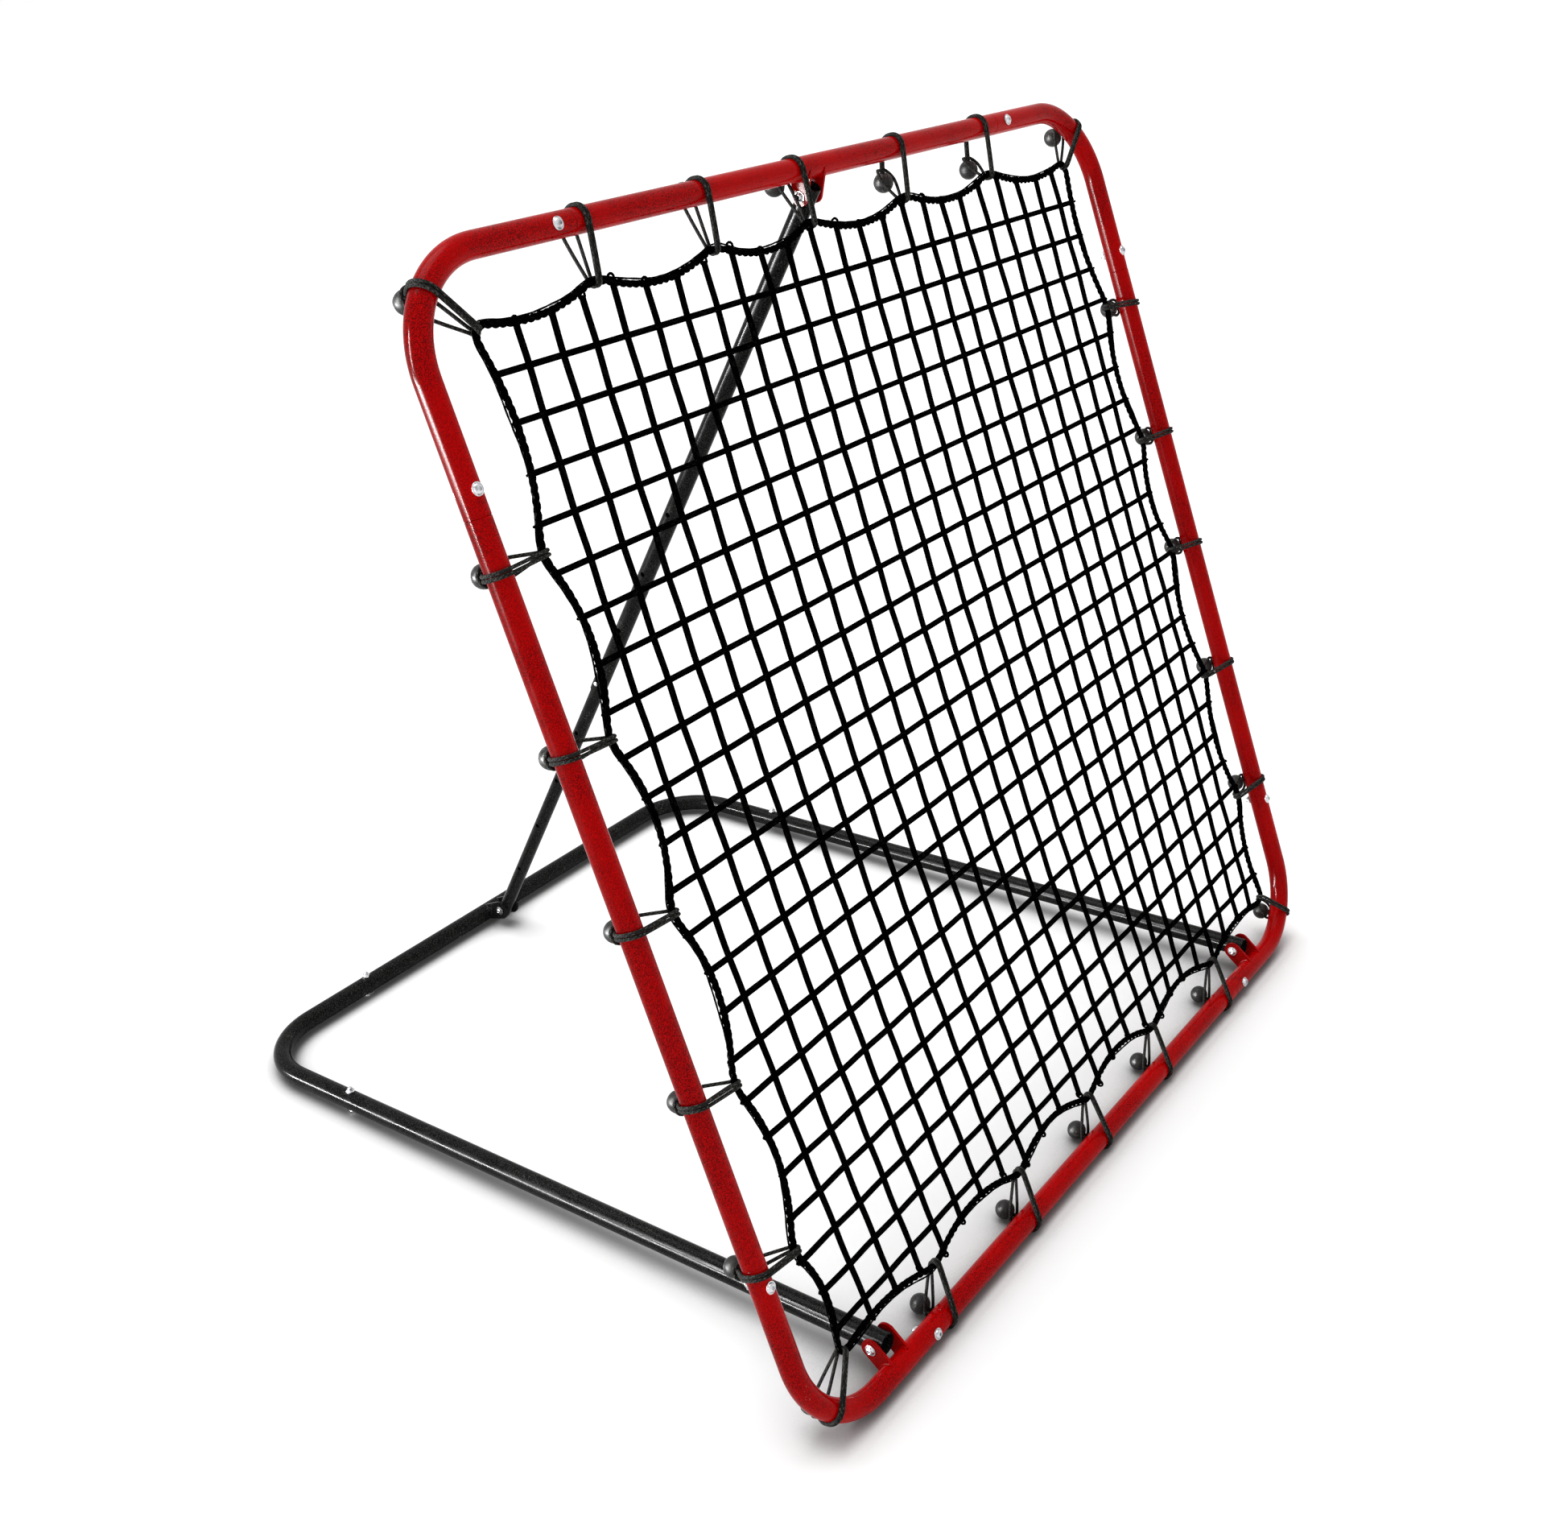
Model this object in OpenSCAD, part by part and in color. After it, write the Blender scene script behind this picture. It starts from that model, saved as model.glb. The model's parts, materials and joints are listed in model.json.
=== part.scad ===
// Ball rebounder: a square net frame of red tube, hinged to a black base on the
// floor and held at its lean by a telescopic strut. Bungee loops tie the net in.
// Sizes are in millimetres. X runs across, the net faces -Y and Z is up.
// The origin is on the floor, under the middle of the whole rebounder.

/* [Net frame] */
// Width of the net frame, between the axes of its side tubes
frame_w = 1195; // [1000:5:1400]
// Height of the net frame, between the axes of its top and bottom tubes
frame_h = 1195; // [1000:5:1400]
// Outer diameter of the frame tubes
frame_tube_d = 25.4; // [24:0.1:28]
// Radius of the frame's corner bends, to the tube axis
corner_r = 100; // [80:5:120]
// Distance of each joint line from the axis of the tube round the corner
frame_joint = 220; // [200:5:260]
// Angle between the net frame and the floor
frame_angle = 71.5; // [66:0.5:76]

/* [Base] */
// Distance from the axis of the frame's bottom tube back to the axis of the rear tube
base_depth = 1067; // [950:1:1150]
// Distance between the axes of the base's side tubes
base_w = 916; // [850:2:940]
// Outer diameter of the base tubes
base_tube_d = 25.4; // [24:0.1:28]
// Radius of the base's corner bends, to the tube axis
base_corner_r = 100; // [80:5:120]
// Distance of each joint line from the axis of the tube round the corner
base_joint = 230; // [200:5:260]

/* [Tubes and joints] */
// Wall of the frame and base tubes
tube_wall = 1.2; // [0.9:0.1:1.6]
// Length of the swaged ends that push into the corner tubes
swage_len = 50; // [40:1:60]
// Length over which a swaged end narrows inside the joint
swage_taper = 5; // [3:0.5:8]
// Distance of each joint bolt from the joint line
joint_bolt = 24; // [16:1:30]
// Clearance all round where one tube slides into another
tube_fit = 0.1; // [0.05:0.01:0.2]
// Bevel on the tube edges at each side of a joint line
edge_ease = 0.5; // [0.2:0.1:0.7]

/* [Fasteners] */
// Diameter of the bolt shanks
bolt_d = 6; // [5:0.5:8]
// Diameter of the domed bolt heads
head_d = 13; // [11:0.5:16]
// Height of the domed bolt heads
head_h = 3.8; // [3:0.1:5]
// Width of the nuts across their flats
nut_flats = 10; // [9:0.5:13]
// Height of the nuts
nut_h = 5; // [4:0.5:7]
// Thread left showing past each nut
thread_end = 2.5; // [1:0.5:5]
// Clearance all round a bolt in its hole
bolt_fit = 0.1; // [0.05:0.01:0.2]
// Gap left under each head and nut
seat_gap = 0.1; // [0.05:0.05:0.3]

/* [Hinges] */
// Distance of the hinge axis behind the axis of the frame's bottom tube
hinge_back = 25; // [23:0.5:30]
// Height of the hinge axis above the axis of the frame's bottom tube
hinge_up = 21; // [18:0.5:26]
// Width of the hinge ears
ear_w = 24; // [20:0.5:25]
// Thickness of the hinge ears, strut bracket plates and clevis ears
plate_t = 3; // [2:0.5:4]
// Gap between a turning tube and the plate on each side of it
side_gap = 0.5; // [0.3:0.1:1]
// Length of base tube in front of the hinge axis
base_nose = 10; // [8:0.5:12]

/* [Strut] */
// Outer diameter of the strut's upper tube
strut_outer_d = 22.2; // [21:0.1:24]
// Outer diameter of the strut's lower tube
strut_inner_d = 19.05; // [17:0.05:20]
// Wall of the strut's lower tube
strut_wall = 1.2; // [0.9:0.1:1.6]
// Distance of the strut's top pivot below the axis of the frame's top tube
bracket_drop = 27; // [24:0.5:32]
// Distance of the strut's top pivot behind the plane of the net frame
bracket_back = 12; // [10:0.5:16]
// Width of the strut bracket's plates where they meet the tube
bracket_w = 28; // [24:0.5:32]
// Radius of the strut bracket's tips
bracket_tip_r = 10; // [8:0.5:11]
// Distance of the strut's bottom pivot in front of the rear tube's axis
clevis_front = 34; // [32:0.5:40]
// Distance of the strut's bottom pivot above the plane of the base tubes
clevis_up = 12; // [8:0.5:16]
// Radius of the clevis ears round the strut's bottom pivot
clevis_tip_r = 14; // [13:0.5:16]
// Travel of the bottom bolt along the slots in the clevis ears
slot_travel = 11.8; // [11.6:0.1:13]
// Slope of the slots in the clevis ears, down towards the back
slot_slope = 26.5; // [20:0.5:34]
// Play of the bottom bolt across its slots, to each side
slot_play = 0.7; // [0.6:0.1:1]
// Length of strut tube past the axis of each pivot bolt
strut_end = 12; // [10:0.5:14]
// Spacing of the holes along the strut
hole_pitch = 101.6; // [90:0.1:110]
// Number of height settings
settings = 5; // [3:1:5]
// Length of the upper tube below the snap button
button_edge = 17; // [12:0.5:24]
// Length of the lower tube above the snap button
overlap = 60; // [50:1:90]
// Diameter of the snap button
button_d = 6.4; // [5:0.1:8]
// How far the snap button stands out of the upper tube
button_out = 3.4; // [2.5:0.1:4.5]
// Clearance all round the snap button in its holes
button_fit = 0.1; // [0.05:0.01:0.2]
// Thickness of the snap button's leaf spring
spring_t = 0.8; // [0.6:0.1:1]
// Width of the snap button's leaf spring
spring_w = 8; // [7:0.5:9]
// Length of the snap button's leaf spring
spring_len = 42; // [30:1:50]

/* [Net] */
// Distance from a frame tube's axis to the net ties along that tube
net_inset = 55; // [50:1:70]
// Distance from the frame tubes' axes to the net's corner ties
corner_inset = 68; // [64:1:80]
// Diameter of the rope round the net's border
rope_d = 8; // [6:0.5:10]
// Depth of the curve that the border rope makes between two ties
rope_sag = 22; // [14:1:28]
// Thickness of the net's cords
net_cord = 5.6; // [4:0.1:7]
// Number of net cells across and up
net_cells = 17; // [10:1:17]

/* [Bungees] */
// Diameter of the stretched bungee cord
bungee_d = 3.4; // [3:0.1:4]
// Diameter of the bungee balls
ball_d = 23; // [20:0.5:26]
// Clearance between a bungee and what it goes round
bungee_gap = 0.3; // [0.25:0.05:0.5]

/* [Hidden] */
$fn = 64;

RED = "firebrick";
BLACK = "#202020";
ZINC = "silver";
RUBBER = "darkslategray";
CORD = "black";

// Signs of the left and right sides
LEFT = -1;
RIGHT = 1;
// Overrun of a cut past the face that it opens
CUT = 1;
// Half the spread of the leaf spring's legs over its width
spring_spread = 0.82;
// Radius of the snap button's dome over its diameter
button_dome = 0.8;

frame_r = frame_tube_d / 2;
base_r = base_tube_d / 2;
half_w = frame_w / 2;
half_base = base_w / 2;

lean = 90 - frame_angle;

// A bungee cord is six-sided, with its flats towards what it goes round
cord_flat = bungee_d * 0.475;
cord_edge = cord_flat / cos(30);
// Half the spacing of the two strands that leave a ball side by side
strand_half = cord_edge + 0.25;
ball_r = ball_d / 2;

// Places of the bungee balls: outwards from the tube's axis and behind it.
// Those of the top tube hang anywhere from behind the tube to beside the rope.
ball_side = [-5.5, 26.5];
ball_bottom = [-8, 32];
ball_corner = [-2, 27];
balls_top = [[3, 26.8], [4, 27], [-8, 30], [-33, 23.2], [-43, 25.5]];
balls_left = [[-5.5, 34], ball_side, ball_side, ball_side, ball_side];

// Radii of the cord's axis round the tube and round the rope, and how many
// corners the cord's route has on each
rail_wrap_r = frame_r + bungee_gap + cord_flat;
rope_wrap_r = rope_d / 2 + bungee_gap + cord_flat;
rail_corners = 5;
rope_corners = 3;

// Angles at which the cord meets the tube on its way from the ball, and leaves it;
// angles go from the outward direction towards the front
function meet_angle(ball) =
  atan2(-ball[1], ball[0]) + acos(rail_wrap_r / norm(ball));
function leave_angle(inset) = 180 - acos((rail_wrap_r - rope_wrap_r) / inset);

// The bottom bungees carry the front of the rebounder: their lowest corner is cut
// flat to this depth, and sets the height of the bottom tube
foot_cut = bungee_d / 10;
foot_from = meet_angle(ball_bottom);
foot_step = (leave_angle(net_inset) - foot_from) / rail_corners;
foot_reach = max([for (i = [0 : rail_corners - 1])
  (rail_wrap_r + cord_flat) * cos(foot_from + (i + 0.5) * foot_step + lean)
    / cos(foot_step / 2)]);

// Places of the axes, seen from the side
rail_z = foot_reach - foot_cut;
rail_y = (frame_r + bungee_gap + bungee_d - base_depth - base_r) / 2;
hinge_y = rail_y + hinge_back;
hinge_z = rail_z + hinge_up;
rear_y = rail_y + base_depth;
rear_z = base_r + seat_gap + head_h;
base_slope = atan2(hinge_z - rear_z, rear_y - hinge_y);
side_len = norm([rear_y - hinge_y, hinge_z - rear_z]);
top_pivot_y = rail_y + (frame_h - bracket_drop) * sin(lean) + bracket_back * cos(lean);
top_pivot_z = rail_z + (frame_h - bracket_drop) * cos(lean) - bracket_back * sin(lean);
low_pivot_y = rear_y - clevis_front * cos(base_slope) + clevis_up * sin(base_slope);
low_pivot_z = rear_z + clevis_front * sin(base_slope) + clevis_up * cos(base_slope);

// The strut, measured up from its bottom pivot
strut_len = norm([top_pivot_y - low_pivot_y, top_pivot_z - low_pivot_z]);
strut_tilt = atan2(low_pivot_y - top_pivot_y, top_pivot_z - low_pivot_z);
button_at = settings * hole_pitch;
outer_foot = button_at - button_edge;
strut_bore = strut_inner_d + 2 * tube_fit;
outer_half_gap = strut_outer_d / 2 + side_gap;
inner_half_gap = strut_inner_d / 2 + side_gap;
hinge_half_gap = base_r + side_gap;
// Half the spread of the leaf spring's legs, just clear of the tube's bore
leg_x = spring_w * spring_spread;

// The lower corners always reach past their hinge ears
bottom_joint = max(
  frame_joint, half_w - half_base + hinge_half_gap + plate_t + swage_len
);

// How far each tie has crept along its side from an even spacing, towards the
// right on the top and bottom tubes, and upwards on the side tubes
creep_top = [-14, -14, -25, -19, -8];
creep_bottom = [-6, 0, -7, -9, 1];
creep_left = [-45, -34, -27, -27, -25];
creep_right = [-18, -10, -2, -22, -15];
ties = len(creep_top);

// How far each bungee crosses its tube beyond its tie, the same way
slant_top = [3, 2, -4, 5, 1];
slant_bottom = [-10, -8, 0, -5, -5];
slant_left = [11.5, 10, 7, 5, -1];
slant_right = [0, -2, -7, -3, -7];

// ---------------------------------------------------------------- placing

// Stands pieces that are drawn upright over the bottom tube's axis at their lean
module leaned() {
  translate([0, rail_y, rail_z]) rotate([-lean, 0, 0]) children();
}

// Lays pieces that are drawn flat, with the rear tube's axis along X, in the base
module based() {
  translate([0, rear_y, rear_z]) rotate([-base_slope, 0, 0]) children();
}

// Turns pieces that are drawn up from the bottom pivot to the line of the strut
module strutted() {
  translate([0, low_pivot_y, low_pivot_z]) rotate([strut_tilt, 0, 0]) children();
}

// Mirrors a left-hand piece to the side asked for
module on_side(side) {
  mirror([side == RIGHT ? 1 : 0, 0, 0]) children();
}

// ---------------------------------------------------------------- tube shapes

// Solid bar along Z with a bevelled end
module eased_bar(h, d) {
  cylinder(h = h - edge_ease, d = d);
  translate([0, 0, h - edge_ease])
    cylinder(h = edge_ease, d1 = d, d2 = d - 2 * edge_ease);
}

// Solid elbow with its corner point at the origin and its legs along +X and +Y
module elbow(bend_r, leg_x, leg_y, d) {
  translate([bend_r, bend_r, 0])
    rotate([0, 0, 180]) rotate_extrude(angle = 90) translate([bend_r, 0]) circle(d = d);
  translate([bend_r, 0, 0]) rotate([0, 90, 0]) eased_bar(leg_x - bend_r, d);
  translate([0, bend_r, 0]) rotate([-90, 0, 0]) eased_bar(leg_y - bend_r, d);
}

// Straight tube along Z with a swaged end at its top, and at its foot if asked for;
// len is the length at full diameter
module swaged_tube(len, d, both = true) {
  tube_r = d / 2;
  bore_r = tube_r - tube_wall;
  swage_r = bore_r - tube_fit;
  neck_r = swage_r - tube_wall;
  top = len - seat_gap;
  foot = both ? seat_gap : 0;
  plain_foot = [[bore_r, 0]];
  swaged_foot = [
    [bore_r, foot + swage_taper],
    [neck_r, foot],
    [neck_r, foot - swage_len],
    [swage_r, foot - swage_len],
    [swage_r, foot],
  ];
  rotate_extrude() polygon(concat(both ? swaged_foot : plain_foot, [
    [tube_r - edge_ease, foot],
    [tube_r, foot + edge_ease],
    [tube_r, top - edge_ease],
    [tube_r - edge_ease, top],
    [swage_r, top],
    [swage_r, top + swage_len],
    [neck_r, top + swage_len],
    [neck_r, top],
    [bore_r, top - swage_taper],
  ]));
}

// Where the line from [0, half] touches the tip circle from above
function tip_contact(reach, half, tip_r) =
  let (turn = atan2(half, -reach) - acos(tip_r / norm([reach, half])))
  [reach + tip_r * cos(turn), tip_r * sin(turn)];

// Flat plate outline along +X, from a straight edge across the origin to a round tip
module tapered_plate(reach, root_w, tip_r) {
  half = root_w / 2;
  touch = tip_contact(reach, half, tip_r);
  polygon([[0, -half], [0, half], touch, [touch[0], -touch[1]]]);
  translate([reach, 0]) circle(r = tip_r);
}

// Plate drawn in the YZ plane from the origin towards a point, pierced at that point
module pierced_plate(to, root_w, tip_r, hole_d) {
  reach = norm(to);
  rotate([0, 0, atan2(to[1], to[0])])
    difference() {
      tapered_plate(reach, root_w, tip_r);
      translate([reach, 0]) circle(d = hole_d);
    }
}

// Stands an outline drawn in Y and Z across X, as a plate between x0 and x0 + plate_t
module plate_at(x0) {
  translate([x0, 0, 0]) rotate([90, 0, 90]) linear_extrude(plate_t) children();
}

// ---------------------------------------------------------------- fasteners

// Domed bolt along +Z, with the underside of its head at the origin
module bolt(grip) {
  dome_r = (head_d * head_d / 4 + head_h * head_h) / (2 * head_h);
  cylinder(h = grip + 2 * seat_gap + nut_h + thread_end, d = bolt_d);
  intersection() {
    translate([0, 0, dome_r - head_h]) sphere(r = dome_r);
    translate([0, 0, -head_h]) cylinder(h = head_h, d = head_d + CUT);
  }
}

// Hexagon nut for such a bolt
module nut(grip) {
  translate([0, 0, grip + 2 * seat_gap]) difference() {
    cylinder(h = nut_h, d = nut_flats / cos(30), $fn = 6);
    translate([0, 0, -CUT]) cylinder(h = nut_h + 2 * CUT, d = bolt_d + 2 * bolt_fit);
  }
}

// Puts a bolt or nut on each frame joint: heads in front of the net, nuts behind
module at_frame_joints() {
  at = frame_joint - joint_bolt;
  places = [
    [half_w, at],
    [half_w, frame_h - at],
    [half_w - at, frame_h],
    [half_w - bottom_joint + joint_bolt, 0],
  ];
  for (side = [LEFT, RIGHT])
    for (place = places)
      translate([side * place[0], -frame_r - seat_gap, place[1]])
        rotate([-90, 0, 0]) children();
}

// Puts a bolt or nut on each base joint: heads below, nuts on top
module at_base_joints() {
  at = base_joint - joint_bolt;
  for (side = [LEFT, RIGHT]) {
    translate([side * half_base, -at, -base_r - seat_gap]) children();
    translate([side * (half_base - at), 0, -base_r - seat_gap]) children();
  }
}

// Puts a bolt or nut across X, its head on the left, through plates half_gap away
module across(half_gap) {
  translate([-half_gap - plate_t - seat_gap, 0, 0]) rotate([0, 90, 0]) children();
}

// ---------------------------------------------------------------- net frame

// Elbow of the net frame at its lower left corner, upright over that corner, with
// its level leg running to the joint line given
module frame_elbow(joint, d, extra = 0) {
  rotate([90, 0, 0]) elbow(corner_r, joint + extra, frame_joint + extra, d);
}

// Holes for the two joint bolts in a lower left corner
module corner_bolt_holes(joint) {
  for (p = [[joint - joint_bolt, 0], [0, frame_joint - joint_bolt]])
    translate([p[0], 0, p[1]]) rotate([90, 0, 0])
      cylinder(h = 2 * frame_tube_d, d = bolt_d + 2 * bolt_fit, center = true);
}

// Corner tube; the lower ones carry the pair of hinge ears
module frame_corner(side, top) {
  joint = top ? frame_joint : bottom_joint;
  ear_x = half_w - half_base;
  hinge_rel = [
    hinge_back * cos(lean) - hinge_up * sin(lean),
    hinge_back * sin(lean) + hinge_up * cos(lean),
  ];
  color(RED)
    leaned() translate([0, 0, top ? frame_h : 0]) mirror([0, 0, top ? 1 : 0])
      on_side(side) translate([-half_w, 0, 0])
        difference() {
          union() {
            frame_elbow(joint, frame_tube_d);
            if (!top)
              for (x0 = [-hinge_half_gap - plate_t, hinge_half_gap])
                plate_at(ear_x + x0)
                  pierced_plate(hinge_rel, ear_w, ear_w / 2, bolt_d + 2 * bolt_fit);
          }
          frame_elbow(joint, frame_tube_d - 2 * tube_wall, CUT);
          corner_bolt_holes(joint);
        }
}

// Straight frame tube drawn upright, with its bolt holes
module frame_rail(len) {
  difference() {
    swaged_tube(len, frame_tube_d);
    for (z = [-joint_bolt, len + joint_bolt])
      translate([0, 0, z]) rotate([90, 0, 0])
        cylinder(h = 2 * frame_tube_d, d = bolt_d + 2 * bolt_fit, center = true);
  }
}

module frame_rail_side(side) {
  color(RED)
    leaned() translate([side * half_w, 0, frame_joint])
      frame_rail(frame_h - 2 * frame_joint);
}

module frame_rail_bottom() {
  color(RED)
    leaned() translate([bottom_joint - half_w, 0, 0]) rotate([0, 90, 0])
      frame_rail(frame_w - 2 * bottom_joint);
}

// The top tube carries the two plates that hold the strut
module frame_rail_top() {
  color(RED)
    leaned() translate([0, 0, frame_h]) difference() {
      union() {
        translate([frame_joint - half_w, 0, 0]) rotate([0, 90, 0])
          frame_rail(frame_w - 2 * frame_joint);
        for (x0 = [-outer_half_gap - plate_t, outer_half_gap])
          plate_at(x0)
            pierced_plate(
              [bracket_back, -bracket_drop], bracket_w, bracket_tip_r,
              bolt_d + 2 * bolt_fit
            );
      }
      rotate([0, 90, 0])
        cylinder(h = 4 * strut_outer_d, d = frame_tube_d - 2 * tube_wall, center = true);
    }
}

module frame_bolts() {
  color(ZINC) leaned() at_frame_joints() bolt(frame_tube_d);
}

module frame_nuts() {
  color(ZINC) leaned() at_frame_joints() nut(frame_tube_d);
}

module at_hinges() {
  for (side = [LEFT, RIGHT])
    translate([side * half_base, hinge_y, hinge_z]) across(hinge_half_gap) children();
}

module hinge_bolts() {
  color(ZINC) at_hinges() bolt(2 * (hinge_half_gap + plate_t));
}

module hinge_nuts() {
  color(ZINC) at_hinges() nut(2 * (hinge_half_gap + plate_t));
}

// ---------------------------------------------------------------- base

// Elbow of the base at its rear left corner, drawn flat
module base_elbow(d, extra = 0) {
  translate([-half_base, 0, 0]) mirror([0, 1, 0])
    elbow(base_corner_r, base_joint + extra, base_joint + extra, d);
}

module base_bolt_holes(d) {
  at = base_joint - joint_bolt;
  for (p = [[-half_base, -at], [at - half_base, 0]])
    translate([p[0], p[1], 0]) cylinder(h = 2 * base_tube_d, d = d, center = true);
}

module base_corner(side) {
  color(BLACK)
    based() on_side(side) difference() {
      base_elbow(base_tube_d);
      base_elbow(base_tube_d - 2 * tube_wall, CUT);
      base_bolt_holes(bolt_d + 2 * bolt_fit);
    }
}

// Side tube: open at its nose, pierced for the hinge bolt, swaged at the rear
module base_side(side) {
  color(BLACK)
    based() on_side(side) difference() {
      translate([-half_base, -side_len - base_nose, 0]) rotate([-90, 0, 0])
        swaged_tube(side_len + base_nose - base_joint, base_tube_d, both = false);
      base_bolt_holes(bolt_d + 2 * bolt_fit);
      translate([-half_base, -side_len, 0]) rotate([0, 90, 0])
        cylinder(h = 2 * base_tube_d, d = bolt_d + 2 * bolt_fit, center = true);
    }
}

// Slot outline along Y for the strut's bottom bolt
module slot() {
  width = bolt_d + 2 * slot_play;
  half = slot_travel / 2;
  rotate([0, 0, -slot_slope + base_slope]) {
    square([slot_travel, width], center = true);
    for (y = [-half, half])
      translate([y, 0]) circle(d = width);
  }
}

// Rear tube with the two slotted ears that carry the strut
module base_rear_tube() {
  len = base_w - 2 * base_joint;
  color(BLACK)
    based() difference() {
      union() {
        translate([-len / 2, 0, 0]) rotate([0, 90, 0]) swaged_tube(len, base_tube_d);
        for (x0 = [-inner_half_gap - plate_t, inner_half_gap])
          plate_at(x0) difference() {
            rotate([0, 0, 180]) mirror([0, 1, 0])
              pierced_plate(
                [clevis_front, clevis_up], base_tube_d - 2 * tube_wall, clevis_tip_r, bolt_d
              );
            translate([-clevis_front, clevis_up]) slot();
          }
      }
      rotate([0, 90, 0])
        cylinder(h = 4 * strut_outer_d, d = base_tube_d - 2 * tube_wall, center = true);
      for (side = [LEFT, RIGHT])
        on_side(side) base_bolt_holes(bolt_d + 2 * bolt_fit);
    }
}

module base_bolts() {
  color(ZINC) based() at_base_joints() bolt(base_tube_d);
}

module base_nuts() {
  color(ZINC) based() at_base_joints() nut(base_tube_d);
}

// ---------------------------------------------------------------- strut

// Hole into the left wall of a strut tube only
module left_hole(d, at) {
  translate([0, 0, at]) rotate([0, -90, 0]) cylinder(h = strut_outer_d, d = d);
}

// Upper tube: five settings down its left side, and the top bolt across it
module strut_outer_tube() {
  color(BLACK)
    strutted() difference() {
      translate([0, 0, outer_foot])
        cylinder(h = strut_len + strut_end - outer_foot, d = strut_outer_d);
      translate([0, 0, outer_foot - CUT])
        cylinder(h = strut_len + strut_end - outer_foot + 2 * CUT, d = strut_bore);
      for (i = [0 : settings - 1])
        left_hole(button_d + 2 * button_fit, button_at + i * hole_pitch);
      translate([0, 0, strut_len]) rotate([0, 90, 0])
        cylinder(h = 2 * strut_outer_d, d = bolt_d + 2 * bolt_fit, center = true);
    }
}

// Lower tube: punched at the same pitch, with the snap button in its top hole
module strut_inner_tube() {
  color(BLACK)
    strutted() difference() {
      translate([0, 0, -strut_end])
        cylinder(h = button_at + overlap + strut_end, d = strut_inner_d);
      translate([0, 0, -strut_end - CUT])
        cylinder(
          h = button_at + overlap + strut_end + 2 * CUT, d = strut_inner_d - 2 * strut_wall
        );
      for (i = [1 : settings])
        left_hole(button_d + 2 * button_fit, i * hole_pitch);
      rotate([0, 90, 0])
        cylinder(h = 2 * strut_outer_d, d = bolt_d + 2 * bolt_fit, center = true);
    }
}

module at_top_pivot() {
  translate([0, top_pivot_y, top_pivot_z]) across(outer_half_gap) children();
}

module at_low_pivot() {
  slack = side_gap - seat_gap;
  strutted() across(inner_half_gap + slack) children();
}

module strut_top_bolt() {
  color(ZINC) at_top_pivot() bolt(2 * (outer_half_gap + plate_t));
}

module strut_top_nut() {
  color(ZINC) at_top_pivot() nut(2 * (outer_half_gap + plate_t));
}

module strut_bottom_bolt() {
  color(BLACK) at_low_pivot() bolt(2 * (inner_half_gap + side_gap - seat_gap + plate_t));
}

module strut_bottom_nut() {
  color(BLACK) at_low_pivot() nut(2 * (inner_half_gap + side_gap - seat_gap + plate_t));
}

// Snap button: a domed pin through both walls
module snap_button() {
  dome_r = button_d * button_dome;
  tip_x = -strut_outer_d / 2 - button_out;
  root_x = -leg_x - spring_t / 2 - seat_gap;
  color(ZINC)
    strutted() translate([0, 0, button_at]) rotate([0, -90, 0]) intersection() {
      translate([0, 0, -root_x]) cylinder(h = root_x - tip_x, d = button_d);
      translate([0, 0, -tip_x - dome_r]) sphere(r = dome_r);
    }
}

// U-shaped leaf spring that presses the snap button out
module button_spring() {
  straight = spring_len - leg_x;
  color(ZINC)
    strutted() translate([0, spring_w / 2, button_at - spring_len + button_d])
      rotate([90, 0, 0]) linear_extrude(spring_w) {
        for (side = [LEFT, RIGHT])
          translate([side * leg_x - spring_t / 2, leg_x]) square([spring_t, straight]);
        translate([0, leg_x]) difference() {
          circle(r = leg_x + spring_t / 2);
          circle(r = leg_x - spring_t / 2);
          translate([-spring_w * 2, 0]) square(spring_w * 4);
        }
      }
}

// ---------------------------------------------------------------- net

// A tie is [place across, place up, outward direction, slant of its bungee, place of
// its ball]; the rope runs square to the outward direction
function even(i, n) = (i + 1) / (n + 1) - 0.5;
corner_x = half_w - corner_inset;
corner_up = frame_h / 2 - corner_inset;
side_x = half_w - net_inset;
side_up = frame_h / 2 - net_inset;

// Ties of each side in turn, anticlockwise as seen from the front
ties_bottom = [for (i = [0 : ties - 1])
  let (x = 2 * corner_x * even(i, ties) + creep_bottom[i])
  [x, -side_up, [0, -1], slant_bottom[i], ball_bottom]];
ties_right = [for (i = [0 : ties - 1])
  let (up = 2 * corner_up * even(i, ties) + creep_right[i])
  [side_x, up, [1, 0], slant_right[i], ball_side]];
ties_top = [for (i = [0 : ties - 1])
  let (x = 2 * corner_x * even(i, ties) + creep_top[i])
  [x, side_up, [0, 1], -slant_top[i], balls_top[i]]];
ties_left = [for (i = [0 : ties - 1])
  let (up = 2 * corner_up * even(i, ties) + creep_left[i])
  [-side_x, up, [-1, 0], -slant_left[i], balls_left[i]]];
ties_corner = [for (s = [[LEFT, -1], [RIGHT, -1], [RIGHT, 1], [LEFT, 1]])
  [s[0] * corner_x, s[1] * corner_up, s / norm(s), 0, ball_corner]];

function reversed(list) = [for (i = [len(list) - 1 : -1 : 0]) list[i]];
ring_of_ties = concat(
  [ties_corner[0]], ties_bottom, [ties_corner[1]], ties_right,
  [ties_corner[2]], reversed(ties_top), [ties_corner[3]], reversed(ties_left)
);

// Half the length of rope that a bungee holds straight
tie_half = 2 * strand_half + bungee_d / 2 + bungee_gap;
sag_points = 3;

function along(tie) = [-tie[2][1], tie[2][0]];
function spot(tie) = [tie[0], tie[1]];

// Inward direction of the side on which two neighbouring ties lie
function inward(a, b) =
  let (span = spot(b) - spot(a))
  [-span[1], span[0]] / norm(span);

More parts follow.
